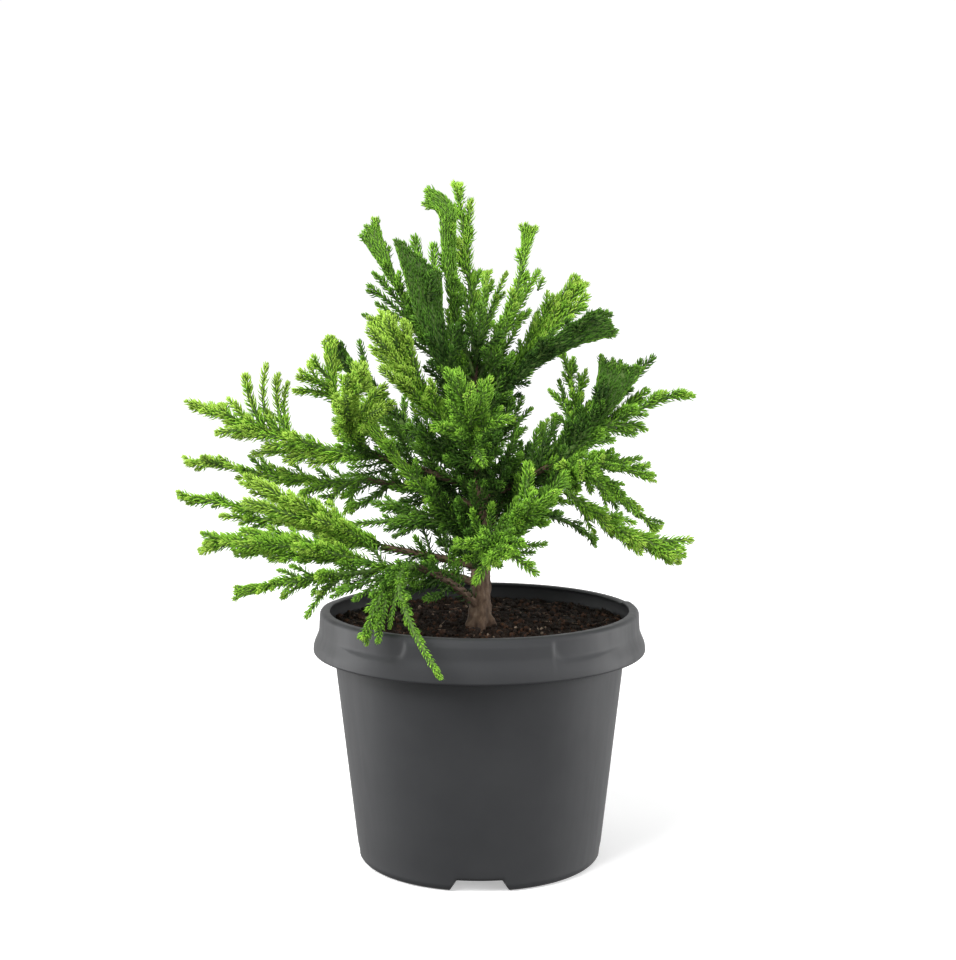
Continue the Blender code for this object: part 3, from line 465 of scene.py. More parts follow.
SPUR_TONE = (0.1, 0.35)
TUFT_SHARES = (0.935, 0.945, 0.955, 0.965, 0.975)
TUFT_SIZE = 0.62
TUFT_LIFT = 0.1
TUFT_PALER = 0.5
CREST_TIP_PITCH = 0.0021
CREST_TIP_SIZE = 0.0042
CREST_TIP_SIZES = (0.6, 1.25)
CREST_TIP_EDGE = 0.90
CREST_TIP_SUNK = 0.0018
CREST_TIP_SPREAD = 0.45
CREST_TIP_WAVER = 0.15
CREST_TIP_TONE = (0.35, 0.3)
BOUGH_SHOOTS = 12
BOUGH_SHOOT_SHARES = (0.30, 0.97)
BOUGH_SHOOT_LENGTH = 0.021
BOUGH_SHOOT_SIZES = (0.6, 1.5)
BOUGH_SHOOT_LIFT = 0.25
TRUNK_SHOOTS = 64
TRUNK_SHOOT_SHARES = (0.20, 0.97)
TRUNK_SHOOT_LENGTH = 0.028
TRUNK_SHOOT_SIZES = (0.7, 1.6)
TRUNK_SHOOT_LIFT = 0.3
TRUNK_TWIGLET_SHARES = (0.25, 0.7)
TRUNK_TWIGLET_LIFT = 0.2
LIMB_LEAN = (40.0, 70.0)
LIMB_TONES = (0.8, 2.8)
CLOTHED_FROM = 0.165
WOOD_SHARE = 0.72
BARE_AT_TRUNK = 0.006
BARE_ON_BOUGH = 0.008
BARE_ON_TRUNK_SHOOT = 0.004

# Placed shoots
TWIG_STEM_WAY = 0.8
TWIG_HANDLE = 0.45
TWIG_SPUR_SHARES = (0.15, 0.82)
TWIG_SPUR_LIFT = 0.2

# What a thin placed shoot has, and what a stout one has besides
TWIG_NEEDLE = (0.92, 0.10)
TWIG_DENSITY = (1.0, 0.45)
TWIG_SPURRED = (0.35, 0.65)
TWIG_SPUR_SIZE = (0.7, 0.35)

# Radii of the green stems at their root and tip, and how many rings and columns their tubes have
STEM_RADII = (0.0014, 0.0009)
SIDE_RADII = (0.0009, 0.0006)
TWIGLET_RADII = (0.0007, 0.0005)
TIP_RADII = (0.0010, 0.0009)
STOUT_RADII = (0.0017, 0.0015)
CREST_GRID = (30, 16)
STEM_GRID = (22, 7)
SHOOT_GRID = (7, 5)
CREST_CROWDING = 1.6
CREST_GROWTH = 1.25
STEM_CLOSE = 0.0022
POT_CLEAR = 0.0025

# Needles
NEEDLE_LENGTH = 0.0056
NEEDLE_WIDTH = 0.00042
NEEDLE_THICKNESS = 0.00036
NEEDLE_BEND = 0.30
NEEDLE_SINK = 0.0003
OPEN_AT_ROOT = 60.0
OPEN_AT_TIP = 42.0
OPEN_AT_BUD = 30.0
BUD_LENGTH = 0.0036
NEEDLES_PER_METRE = 2600.0
NEEDLES_AT_BUD = 4200.0
CREST_PITCH = 0.00096
CREST_NEEDLE = 0.60
CREST_OPEN = 17.0
CREST_FAN = 0.8
FAN_STEP = 0.02
NEEDLE_OPEN_SPREAD = 5.5
NEEDLE_TURN_SPREAD = 0.12
NEEDLE_WAY_SPREAD = 0.07
NEEDLE_LENGTHS = (0.82, 1.15)
NEEDLE_GIRTHS = (0.85, 1.15)
DENSITY_AT_ROOT = 0.65
DENSITY_GAIN = 0.55
LENGTH_ALONG = (1.05, -0.25)
LENGTH_FROM_BUD = (0.55, 0.45)
GIRTH_FROM_BUD = (0.8, 0.2)
FINE_NEEDLE = 0.85
SIDE_NEEDLE = 0.95
TIP_NEEDLE = 0.60
NEEDLE_SEED = 77
SPRAYS = 3
SPRAY_TONE_SPREAD = 0.22
PIECE_NEEDLES = 19000

# How a needle's tone changes: along its shoot, from where it has the mass's own, over the bud, less where the
# shoot is flat, towards a crest's edges, and deep in the crown's lower part, where painted shade darkens it
TONE_RISE = 0.95
TONE_OWN_AT = 0.45
TONE_BUD = 0.5
TONE_CALM_FLAT = 0.7
RIM_PALER = 0.6
RIM_PALER_WHERE_DARK = 0.6
RIM_DARK_BELOW = 1.5
RIM_EDGE = (0.80, 0.95)
# Painted shade: how many tones darker needles are set deep in the crown, how far out and how high it reaches
PAINTED_SHADE_DROP = -0.9
PAINTED_SHADE_OUT = (0.015, 0.060)
PAINTED_SHADE_UP = (0.225, 0.29)

# From the deepest to the palest
TONES = ("shade", "deep", "mid", "bright", "lime")
TONE_COLOURS = {
    "shade": (0.022, 0.060, 0.009),
    "deep": (0.060, 0.150, 0.017),
    "mid": (0.135, 0.298, 0.030),
    "bright": (0.225, 0.455, 0.042),
    "lime": (0.360, 0.570, 0.075),
}

# A shoot: its line, the direction that it faces, its crest or none, its radii, the length of its bare foot,
# the size and number of its needles against the usual, its tone, and its level: 0 for a main stem, 1 and 2
# for finer shoots, and 3 for the wood of trunk and boughs
Shoot = namedtuple("Shoot", "line facing crest radii bare needle density tone level")

# Stage, light and camera
CAMERA_PLACE = (-0.0007, -0.900, 0.298)
CAMERA_DOWN = 6.8
CAMERA_LENS = 68.6
FLOOR_REACH = 60.0
GLOW_REACH = (0.22, 1.3)
FLOOR_GLOW = (0.40, 0.62)
SKY_LIGHT = 1.02

# How the light of the surroundings changes with a direction's height or depth: from one, to another, and how
# bright it is at each. They are for what is below the horizon, what is overhead, what is below the horizon
# behind the camera, and the horizon, from which the light is full up to what is overhead
BELOW = (-0.62, -0.30, 0.30, 0.88)
OVERHEAD = (0.18, 0.70, 1.0, 0.45)
BEHIND_CAMERA = (-0.90, -0.10, 0.45, 1.0)
HORIZON = (-0.05, -0.02, 0.0, 1.0)

# Square lights, all turned towards one point, and whether each shows in glossy surfaces
Light = namedtuple("Light", "name place size power glossy")
LIGHT_AIM = (0.0, 0.0, 0.18)
LIGHTS = (
    Light("key", (-0.75, -0.80, 1.30), 1.0, 36.0, False),
    Light("right_front", (0.95, -0.85, 0.25), 0.7, 8.0, False),
    Light("right_side", (1.20, 0.15, 0.12), 0.8, 7.0, True),
    Light("left_side", (-1.20, 0.25, 0.12), 0.8, 7.0, True),
)


# Vectors and lines

def unit(vectors):
    """Each vector divided by its length, whole arrays at once."""
    vectors = np.asarray(vectors, float)
    return vectors / np.linalg.norm(vectors, axis=-1, keepdims=True)


def smooth_step(low, high, values):
    """0 below low, 1 above high, and 3t^2 - 2t^3 between them."""
    t = np.clip((values - low) / (high - low), 0.0, 1.0)
    return t * t * (3.0 - 2.0 * t)


def arc(start, control, end, steps):
    """A quadratic curve: (1-t)^2 start + 2t(1-t) control + t^2 end."""
    t = np.linspace(0.0, 1.0, steps)[:, None]
    return (1 - t) ** 2 * start + 2 * t * (1 - t) * control + t ** 2 * end


def grown(pair, share):
    """The first of a pair, and a share of the second added to it."""
    return pair[0] + pair[1] * share


def place(azimuth, reach, height):
    """The point at this azimuth, distance from the pot's axis, and height."""
    angle = math.radians(azimuth)
    return np.array([reach * math.cos(angle), reach * math.sin(angle), height])


def lengths_along(line):
    """The distance along a line at each of its points."""
    return np.concatenate([[0.0], np.cumsum(np.linalg.norm(np.diff(line, axis=0), axis=1))])


def at_length(line, marks):
    """The line's points at these distances along it, by straight interpolation."""
    lengths = lengths_along(line)
    return np.stack([np.interp(marks, lengths, line[:, axis]) for axis in range(3)], axis=-1)


def frames(line, facing):
    """Tangent, facing and side directions along a line. The facing is carried on without twist, and the side
    is the facing crossed with the tangent."""
    tangents = unit(np.gradient(line, axis=0))
    faces = np.empty_like(tangents)
    current = np.asarray(facing, float)
    for index, tangent in enumerate(tangents):
        current = unit(current - tangent * (current @ tangent))
        faces[index] = current
    return tangents, faces, np.cross(faces, tangents)


def ripples(points, wavelength, seed):
    """A smooth random field from -1 to 1 or so: the sum of nine sine waves of about this wavelength, in
    random directions and phases."""
    rng = np.random.default_rng(seed)
    ways = unit(rng.normal(size=(9, points.shape[-1]))) * rng.uniform(0.7, 1.5, (9, 1)) / wavelength
    phases = rng.uniform(0, 2 * math.pi, 9)
    return np.sin(points @ ways.T * 2 * math.pi + phases).sum(axis=-1) / 4.5


# Meshes from whole arrays

def ring_quads(rows, columns):
    """The wall of a tube of rows by columns: each quad's vertices, and its corners' rows and columns."""
    grids = np.meshgrid(np.arange(rows - 1), np.arange(columns), indexing="ij")
    row, column = (grid.ravel() for grid in grids)
    corner_rows = np.stack([row, row, row + 1, row + 1], axis=1)
    corner_columns = np.stack([column, column + 1, column + 1, column], axis=1)
    return corner_rows * columns + corner_columns % columns, corner_rows, corner_columns


def end_fans(rows, columns, first, last):
    """Triangles from the first ring to the vertex numbered first, and from the last ring to last."""
    column = np.arange(columns)
    after = (column + 1) % columns
    start = np.stack([np.full(columns, first), after, column], axis=1)
    low = (rows - 1) * columns
    end = np.stack([np.full(columns, last), low + column, low + after], axis=1)
    return np.concatenate([start, end])


class Surface:
    """Vertices, quads and triangles gathered from many grids, with each quad's corners' texture places."""

    def __init__(self):
        """Empty to begin with."""
        self.vertices, self.quads, self.triangles, self.places = [], [], [], []
        self.count = 0

    def add(self, vertices, quads, triangles, places=None):
        """Take in one more grid. Its vertex numbers start at 0."""
        self.vertices.append(vertices)
        self.quads.append(quads + self.count)
        self.triangles.append(triangles + self.count)
        self.places.append(np.zeros((len(quads), 4, 2)) if places is None else places)
        self.count += len(vertices)

    def add_tube(self, rings, ends, lengths=None):
        """A closed tube: rings is rows by columns by 3, and ends are its two end points."""
        rows, columns = rings.shape[:2]
        quads, corner_rows, corner_columns = ring_quads(rows, columns)
        triangles = end_fans(rows, columns, rows * columns, rows * columns + 1)
        lengths = np.arange(rows) if lengths is None else lengths
        places = np.stack([corner_columns / columns, lengths[corner_rows]], axis=-1)
        self.add(np.concatenate([rings.reshape(-1, 3), ends]), quads, triangles, places)

    def piece(self, name, material, smooth=True):
        """The mesh object, at the origin, with its one material and its texture places."""
        vertices = np.concatenate(self.vertices).astype(np.float32)
        quads = np.concatenate(self.quads).astype(np.int32)
        triangles = np.concatenate(self.triangles).astype(np.int32)
        corners = np.concatenate([quads.ravel(), triangles.ravel()])
        starts = np.concatenate([np.arange(len(quads)) * 4, len(quads) * 4 + np.arange(len(triangles)) * 3])
        mesh = bpy.data.meshes.new(name)
        mesh.vertices.add(len(vertices))
        mesh.vertices.foreach_set("co", vertices.ravel())
        mesh.loops.add(len(corners))
        mesh.loops.foreach_set("vertex_index", corners)
        mesh.polygons.add(len(starts))
        mesh.polygons.foreach_set("loop_start", starts.astype(np.int32))
        mesh.polygons.foreach_set("use_smooth", np.full(len(starts), smooth))
        mesh.update(calc_edges=True)
        if len(quads):
            layer = mesh.uv_layers.new(name="along")
            places = np.zeros((len(corners), 2), np.float32)
            places[:len(quads) * 4] = np.concatenate(self.places).reshape(-1, 2)
            layer.data.foreach_set("uv", places.ravel())
        mesh.materials.append(material)
        made = bpy.data.objects.new(name, mesh)
        bpy.context.scene.collection.objects.link(made)
        return made


def tube_piece(name, material, rings, ends, lengths=None):
    """A piece that is one closed tube."""
    surface = Surface()
    surface.add_tube(rings, ends, lengths)
    return surface.piece(name, material)


def triangle_piece(name, material, points, faces):
    """A piece of triangles alone."""
    surface = Surface()
    surface.add(points, np.zeros((0, 4), int), faces)
    return surface.piece(name, material)


def ellipse_rings(line, facing, wide, thick, columns):
    """Rings of an elliptic tube: the centre, plus the side by wide cos a, plus the facing by thick sin a."""
    tangents, faces, sides = frames(line, facing)
    angles = 2 * math.pi * np.arange(columns) / columns
    across = np.cos(angles)[None, :, None] * sides[:, None, :] * np.asarray(wide)[:, None, None]
    outward = np.sin(angles)[None, :, None] * faces[:, None, :] * np.asarray(thick)[:, None, None]
    return line[:, None, :] + across + outward, tangents


# Materials

def new_material(name):
    """A Principled material, with its node tree and its shader."""
    material = bpy.data.materials.new(name)
    material.use_nodes = True
    return material, material.node_tree, material.node_tree.nodes["Principled BSDF"]


def add_node(tree, kind, values=(), **settings):
    """One node, with its settings, and its inputs' values by name or number."""
    made = tree.nodes.new(kind)
    for key, value in settings.items():
        setattr(made, key, value)
    for key, value in dict(values).items():
        made.inputs[key].default_value = value
    return made


def coordinates(tree, output="Object", stretch=(1.0, 1.0, 1.0)):
    """Texture coordinates, stretched along each axis."""
    source = add_node(tree, "ShaderNodeTexCoord")
    mapping = add_node(tree, "ShaderNodeMapping", {"Scale": stretch})
    tree.links.new(source.outputs[output], mapping.inputs["Vector"])
    return mapping.outputs["Vector"]


def noise(tree, where, scale, detail=3.0, roughness=0.55):
    """A noise value over the given coordinates, in waves to the metre."""
    made = add_node(tree, "ShaderNodeTexNoise", {"Scale": scale, "Detail": detail, "Roughness": roughness})
    tree.links.new(where, made.inputs["Vector"])
    return made.outputs["Fac"]


def colour_ramp(tree, factor, stops):
    """Colours over a factor: stops are (place, colour)."""
    ramp = add_node(tree, "ShaderNodeValToRGB")
    elements = ramp.color_ramp.elements
    while len(elements) < len(stops):
        elements.new(0.5)
    for element, (where, colour) in zip(elements, stops):
        element.position = where
        element.color = (*colour, 1.0)
    tree.links.new(factor, ramp.inputs["Fac"])
    return ramp.outputs["Color"]


def mapped(tree, factor, start, end, low, high):
    """A value that runs from low to high while the factor runs from start to end, and stays there beyond."""
    made = add_node(tree, "ShaderNodeMapRange",
                    {"From Min": start, "From Max": end, "To Min": low, "To Max": high})
    tree.links.new(factor, made.inputs["Value"])
    return made.outputs["Result"]


def value_range(tree, factor, low, high):
    """A value from low to high over a noise's middle range."""
    return mapped(tree, factor, 0.25, 0.75, low, high)


def bump(tree, shader, height, strength, distance):
    """Bump on the shader from a height."""
    made = add_node(tree, "ShaderNodeBump", {"Strength": strength, "Distance": distance})
    tree.links.new(height, made.inputs["Height"])
    tree.links.new(made.outputs["Normal"], shader.inputs["Normal"])


def scaled(colour, factor):
    """The colour, lighter or darker."""
    return tuple(min(1.0, channel * factor) for channel in colour)


def pot_plastic():
    """Anthracite moulded plastic: faint cloudy mottling, flow marks down the wall, and a fine grain."""
    material, tree, shader = new_material("pot_plastic")
    clouds = noise(tree, coordinates(tree), 26.0, 4.0)
    colours = colour_ramp(tree, clouds, ((0.30, (0.030, 0.031, 0.033)), (0.72, (0.038, 0.039, 0.041))))
    tree.links.new(colours, shader.inputs["Base Color"])
    flow = noise(tree, coordinates(tree, stretch=(1.0, 1.0, 0.12)), 240.0, 3.0)
    tree.links.new(value_range(tree, flow, 0.42, 0.52), shader.inputs["Roughness"])
    shader.inputs["Specular IOR Level"].default_value = 0.32
    bump(tree, shader, noise(tree, coordinates(tree), 2600.0, 2.0), 0.12, 0.00012)
    return material


def peat(name, dark, light, scale):
    """Rough soil: dark and lighter grains, with a coarse bump."""
    material, tree, shader = new_material(name)
    grains = noise(tree, coordinates(tree), scale, 5.0, 0.7)
    tree.links.new(colour_ramp(tree, grains, ((0.35, dark), (0.68, light))), shader.inputs["Base Color"])
    shader.inputs["Roughness"].default_value = 0.92
    bump(tree, shader, noise(tree, coordinates(tree), scale * 2.0, 4.0, 0.7), 0.6, 0.0008)
    return material


def bark():
    """Thin bark in long strips: the noise is stretched along the limb, over its own texture places."""
    material, tree, shader = new_material("bark")
    strips = noise(tree, coordinates(tree, "UV", (14.0, 150.0, 1.0)), 1.0, 5.0, 0.65)
    stops = ((0.30, (0.035, 0.022, 0.015)), (0.50, (0.100, 0.064, 0.042)), (0.74, (0.190, 0.140, 0.098)))
    tree.links.new(colour_ramp(tree, strips, stops), shader.inputs["Base Color"])
    shader.inputs["Roughness"].default_value = 0.85
    bump(tree, shader, noise(tree, coordinates(tree, "UV", (22.0, 300.0, 1.0)), 1.0, 4.0, 0.7), 0.7, 0.0005)
    return material


def twig_skin(name, dark, light):
    """Skin of a young twig, mottled along its length."""
    material, tree, shader = new_material(name)
    marks = noise(tree, coordinates(tree), 420.0, 4.0)
    tree.links.new(colour_ramp(tree, marks, ((0.35, dark), (0.70, light))), shader.inputs["Base Color"])
    shader.inputs["Roughness"].default_value = 0.62
    bump(tree, shader, noise(tree, coordinates(tree), 1500.0, 3.0), 0.5, 0.0003)
    return material


def needle_green(tone):
    """Waxy needles of one tone, with a slight change of green from place to place."""
    base = TONE_COLOURS[tone]
    material, tree, shader = new_material("needles_" + tone)
    patches = noise(tree, coordinates(tree), 190.0, 3.0)
    stops = ((0.30, scaled(base, 0.80)), (0.70, scaled(base, 1.20)))
    tree.links.new(colour_ramp(tree, patches, stops), shader.inputs["Base Color"])
    sheen = noise(tree, coordinates(tree), 900.0, 2.0)
    tree.links.new(value_range(tree, sheen, 0.45, 0.65), shader.inputs["Roughness"])
    shader.inputs["Specular IOR Level"].default_value = 0.25
    return material


def floor_white():
    """White matte ground with a glow of its own, faint near the pot and stronger far off, so that it meets
    the white sky without a line."""
    material, tree, shader = new_material("floor_white")
    shader.inputs["Base Color"].default_value = (0.88, 0.88, 0.88, 1.0)
    shader.inputs["Roughness"].default_value = 0.9
    shader.inputs["Emission Color"].default_value = (1.0, 1.0, 1.0, 1.0)
    distance = add_node(tree, "ShaderNodeVectorMath", operation="LENGTH")
    tree.links.new(coordinates(tree), distance.inputs[0])
    glow = mapped(tree, distance.outputs["Value"], *GLOW_REACH, *FLOOR_GLOW)
    tree.links.new(glow, shader.inputs["Emission Strength"])
    return material


# The pot

def rounded(centre, radius, start, end, steps):
    """Profile points round a corner: the centre plus the radius at angles from start to end, in degrees."""
    angles = np.radians(np.linspace(start, end, steps))
    return np.stack([centre[0] + radius * np.cos(angles), centre[1] + radius * np.sin(angles)], axis=1)


def straight(start, end, steps):
    """Profile points on a straight run, without its two ends."""
    return np.linspace(start, end, steps + 2)[1:-1]


def wall_radius(height, inset=0.0):
    """Radius of the tapered wall at a height, moved inwards by the inset."""
    return WALL_FOOT_RADIUS + (LEDGE_RADIUS - WALL_FOOT_RADIUS) * height / LEDGE_HEIGHT - inset


def skirt_radius(heights):
    """The rim band's radius at heights: a slight draft down from the rim, and an S-curve to its widest."""
    draft = SKIRT_DRAFT * (RIM_TOP - RIM_ROUND - heights) / (RIM_TOP - RIM_ROUND - BAND_WIDEST)
    return RIM_RADIUS + draft + (BAND_RADIUS - RIM_RADIUS - SKIRT_DRAFT) * smooth_step(*SKIRT_BEND, heights)


def pot_outside():
    """The pot's outer section, from the middle of its underside up to the top of the rim.

    Corners are arcs, the wall is straight, and the band's skirt has its own formula."""
    foot = wall_radius(CORNER_ROUND) - CORNER_ROUND
    under = [(0.0, 0.0), (PAD_RADIUS * 0.5, 0.0), (PAD_RADIUS, 0.0), (PAD_RADIUS + PAD_SLOPE, CHANNEL_HEIGHT),
             (FOOT_INNER_RADIUS, CHANNEL_HEIGHT), (FOOT_INNER_RADIUS, 0.0), (foot - FOOT_FLAT, 0.0)]
    corner = rounded((foot, CORNER_ROUND), CORNER_ROUND, -82, 0, 14)
    ledge = wall_radius(LEDGE_HEIGHT)
    wall = straight(corner[-1], (ledge, LEDGE_HEIGHT), 26)
    turn = rounded((ledge + LEDGE_ROUND, LEDGE_HEIGHT - LEDGE_ROUND), LEDGE_ROUND, 175, 98, 5)
    edge = rounded((BAND_RADIUS - BAND_ROUND, BAND_WIDEST), BAND_ROUND, -80, 0, 9)
    heights = np.linspace(BAND_WIDEST, RIM_TOP - RIM_ROUND, 34)[1:-1]
    skirt = np.stack([skirt_radius(heights), heights], axis=1)
    rim = rounded((RIM_RADIUS - RIM_ROUND, RIM_TOP - RIM_ROUND), RIM_ROUND, 8, 90, 9)
    return np.concatenate([under, corner, wall, turn, edge, skirt, rim])


def pot_inside():
    """The pot's inner section, from the lip down the inside to the middle of the floor."""
    lip = rounded((LIP_INNER_RADIUS + LIP_ROUND, RIM_TOP - LIP_ROUND), LIP_ROUND, 90, 270, 9)
    down = [(RIM_RADIUS - WALL, RIM_TOP - 2 * LIP_ROUND), (RIM_RADIUS - WALL, RIM_TOP - 2 * WALL),
            (BAND_RADIUS - WALL, BAND_WIDEST - BAND_ROUND + WALL),
            (wall_radius(LEDGE_HEIGHT, WALL), LEDGE_HEIGHT + WALL),
            (wall_radius(FLOOR_TOP + CORNER_INSIDE, WALL), FLOOR_TOP + CORNER_INSIDE),
            (wall_radius(FLOOR_TOP, WALL) - CORNER_INSIDE, FLOOR_TOP),
            (PAD_RADIUS + PAD_SLOPE - WALL, FLOOR_TOP), (PAD_RADIUS - WALL, WALL), (0.0, WALL)]
    return np.concatenate([lip, down])


def notch_height(azimuths):
    """Height of the foot's drainage notches: flat over the narrow width, then an S-curve to the wide one."""
    height = np.zeros_like(azimuths)
    for azimuth in NOTCH_AZIMUTHS:
        away = np.abs((azimuths - azimuth + 180.0) % 360.0 - 180.0)
        across = np.radians(away) * (WALL_FOOT_RADIUS - CORNER_ROUND)
        slope = 1.0 - smooth_step(NOTCH_WIDTH_HIGH / 2, NOTCH_WIDTH_LOW / 2, across)
        height = np.maximum(height, NOTCH_HEIGHT * slope)
    return height


def front_rise(azimuths, heights):
    """How far the front of the rim band stands out. It sinks inside two panels, each a field above a bottom
    edge and beyond a side edge with a rounded corner between them, and dies out towards the pot's sides."""
    away = np.abs((azimuths - FRONT + 180.0) % 360.0 - 180.0)
    past_side = np.radians(away - PANEL_FROM) * BAND_RADIUS
    past_bottom = heights - PANEL_BOTTOM
    gone = np.hypot(np.maximum(PANEL_ROUND - past_side, 0.0), np.maximum(PANEL_ROUND - past_bottom, 0.0))
    panel = smooth_step(-PANEL_EDGE / 2, PANEL_EDGE / 2, PANEL_ROUND - gone)
    belt = smooth_step(*RISE_LOW, heights) * (1.0 - smooth_step(*RISE_HIGH, heights))
    right = np.where(away < PANEL_FROM, 1.0, RIGHT_RISE)
    side = np.where(np.cos(np.radians(azimuths)) > 0, right, 1.0)
    return FRONT_RISE * belt * (1.0 - np.maximum(panel, smooth_step(*PANEL_FADE, away))) * side


def back_step(azimuths, heights):
    """How far the top of the rim drops over the pot's back, with a slope at either end."""
    from_side = 90.0 - np.abs((azimuths - FRONT) % 360.0 - 180.0)
    right = smooth_step(BACK_FROM - BACK_SLOPE_RIGHT, BACK_FROM + BACK_SLOPE_RIGHT, from_side)
    left = smooth_step(BACK_FROM - BACK_SLOPE_LEFT, BACK_FROM + BACK_SLOPE_LEFT, from_side)
    at_back = np.where(np.cos(np.radians(azimuths)) > 0, right, left)
    return BACK_STEP * at_back * smooth_step(RIM_TOP - 2 * RIM_ROUND, RIM_TOP - LIP_ROUND, heights)


def make_pot(material):
    """The pot: its section turned round +Z, the foot lifted at the notches, the front of the band raised, and
    the back of the rim let down."""
    outside = pot_outside()
    profile = np.concatenate([outside, pot_inside()])
    azimuths = np.arange(POT_COLUMNS) * 360.0 / POT_COLUMNS
    radii = np.repeat(profile[1:-1, 0][:, None], POT_COLUMNS, axis=1)
    heights = np.repeat(profile[1:-1, 1][:, None], POT_COLUMNS, axis=1)
    ways = np.broadcast_to(azimuths, radii.shape)
    foot = (radii >= FOOT_INNER_RADIUS - GAP) & (heights < CHANNEL_HEIGHT)
    heights = np.where(foot, np.maximum(heights, notch_height(ways)), heights)
    on_band = (heights > LEDGE_HEIGHT) & (radii > LEDGE_RADIUS + WALL)
    on_band &= (np.arange(len(radii)) < len(outside))[:, None]
    radii = radii + np.where(on_band, front_rise(ways, heights), 0.0)
    heights = heights - back_step(ways, heights)
    angles = np.radians(ways)
    rings = np.stack([radii * np.cos(angles), radii * np.sin(angles), heights], axis=-1)
    ends = np.array([[0.0, 0.0, profile[0, 1]], [0.0, 0.0, profile[-1, 1]]])
    return tube_piece("pot_shell", material, rings, ends)


# The soil

def soil_height(where):
    """The soil's top over points of the plane: ripples of three wavelengths, flat at the pot's wall."""
    calm = 1.0 - smooth_step(*SOIL_CALM, np.linalg.norm(where, axis=-1))
    lumps = sum(depth * ripples(where, wave, seed) for seed, (wave, depth) in enumerate(SOIL_LUMPS))
    return SOIL_TOP + lumps * calm


def make_soil(material):
    """The soil: up the inside of the wall and over the lumpy top, turned round +Z."""
    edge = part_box("soil")[1][0] - GAP
    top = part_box("soil")[1][0] - SOIL_SHOULDER
    low = FLOOR_TOP + CORNER_INSIDE
    foot = wall_radius(low, WALL + GAP)
    side = [(0.0, FLOOR_TOP + GAP), (foot - CORNER_INSIDE, FLOOR_TOP + GAP), (foot, low),
            (wall_radius(LEDGE_HEIGHT, WALL + GAP), LEDGE_HEIGHT + WALL + GAP),
            (edge, BAND_WIDEST + WALL), (top, SOIL_TOP)]
    shrink = top * (1.0 - np.arange(1, SOIL_RINGS) / SOIL_RINGS)
    profile = np.concatenate([side, np.stack([shrink, np.full(len(shrink), SOIL_TOP)], axis=1)])
    angles = 2 * math.pi * np.arange(SOIL_COLUMNS) / SOIL_COLUMNS
    flat = profile[1:, 0][:, None, None] * np.stack([np.cos(angles), np.sin(angles)], axis=-1)[None]
    heights = np.repeat(profile[1:, 1][:, None], SOIL_COLUMNS, axis=1)
    heights[len(side) - 1:] = soil_height(flat[len(side) - 1:])
    rings = np.concatenate([flat, heights[..., None]], axis=-1)
    middle = soil_height(np.zeros((1, 2)))[0]
    ends = np.array([[0.0, 0.0, FLOOR_TOP + GAP], [0.0, 0.0, middle]])
    return tube_piece("soil_bed", material, rings, ends)


def lump_arrays(centres, sizes, rng):
    """Lumps of twelve points: two poles and two rings of five, each point pulled in or out at random."""
    turns = 2 * math.pi * np.arange(5) / 5
    height = 1 / math.sqrt(5)
    upper = np.stack([2 * height * np.cos(turns), 2 * height * np.sin(turns), np.full(5, height)], axis=1)
    lower = upper @ np.diag([-1.0, -1.0, -1.0])
    shape = np.concatenate([upper, lower, [[0, 0, 1.0], [0, 0, -1.0]]])
    column = np.arange(5)
    after = (column + 1) % 5
    across = (column + 3) % 5
    beyond = (column + 2) % 5
    faces = np.concatenate([np.stack([column, after, np.full(5, 10)], axis=1),
                            np.stack([5 + after, 5 + column, np.full(5, 11)], axis=1),
                            np.stack([after, column, 5 + across], axis=1),
                            np.stack([5 + column, 5 + after, beyond], axis=1)])
    stretch = sizes[:, None, None] * rng.uniform(*LUMP_STRETCH, (len(centres), 1, 3))
    points = centres[:, None, :] + shape[None] * stretch * rng.uniform(*LUMP_DENTS, (len(centres), 12, 1))
    numbers = faces[None] + 12 * np.arange(len(centres))[:, None, None]
    return points.reshape(-1, 3), numbers.reshape(-1, 3)


def strewn(count, reach, least, rng):
    """Places strewn evenly over a disc: the reach times the root of an even draw, at an even turn."""
    out = reach * np.sqrt(rng.uniform(least, 1.0, count))
    turn = rng.uniform(0, 2 * math.pi, count)
    return np.stack([out * np.cos(turn), out * np.sin(turn)], axis=1)


def make_crumbs(materials):
    """Crumbs of peat in three shades, strewn evenly over the soil and half sunk in it."""
    rng = np.random.default_rng(CRUMB_SEED)
    pieces = []
    for material, share, low, high in materials:
        count = int(CRUMB_COUNT * share)
        where = strewn(count, CRUMB_REACH, 0.004, rng)
        sizes = rng.uniform(low, high, count)
        centres = np.concatenate([where, (soil_height(where) + sizes * CRUMB_RAISED)[:, None]], axis=1)
        points, faces = lump_arrays(centres, sizes, rng)
        pieces.append(triangle_piece(material.name + "_crumbs", material, points, faces))
    return pieces


def make_fibres(material):
    """Light fibres on the soil: thin bent sticks, lying in every direction."""
    rng = np.random.default_rng(FIBRE_SEED)
    where = strewn(FIBRE_COUNT, FIBRE_REACH, 0.02, rng)
    bases = np.concatenate([where, soil_height(where)[:, None] + FIBRE_RAISED], axis=1)
    way = rng.uniform(0, 2 * math.pi, FIBRE_COUNT)
    ways = np.stack([np.cos(way), np.sin(way), rng.uniform(0.0, 0.25, FIBRE_COUNT)], axis=1)
    bends = unit(ways + rng.normal(0, 0.4, (FIBRE_COUNT, 3)) * [1, 1, 0.2])
    outs = np.broadcast_to(UP, ways.shape)
    lengths = rng.uniform(*FIBRE_LENGTHS, FIBRE_COUNT)
    girths = np.full(FIBRE_COUNT, FIBRE_GIRTH)
    points, faces = needle_arrays(bases, unit(ways), bends, outs, lengths, girths, FIBRE_BEND)
    return triangle_piece("soil_fibres", material, points, faces)


# Limbs

def trunk_line(steps=41):
    """The trunk's axis: a slight bow from its foot to its top."""
    return arc(TRUNK_FOOT, (TRUNK_FOOT + TRUNK_TOP) / 2 + TRUNK_BOW, TRUNK_TOP, steps)


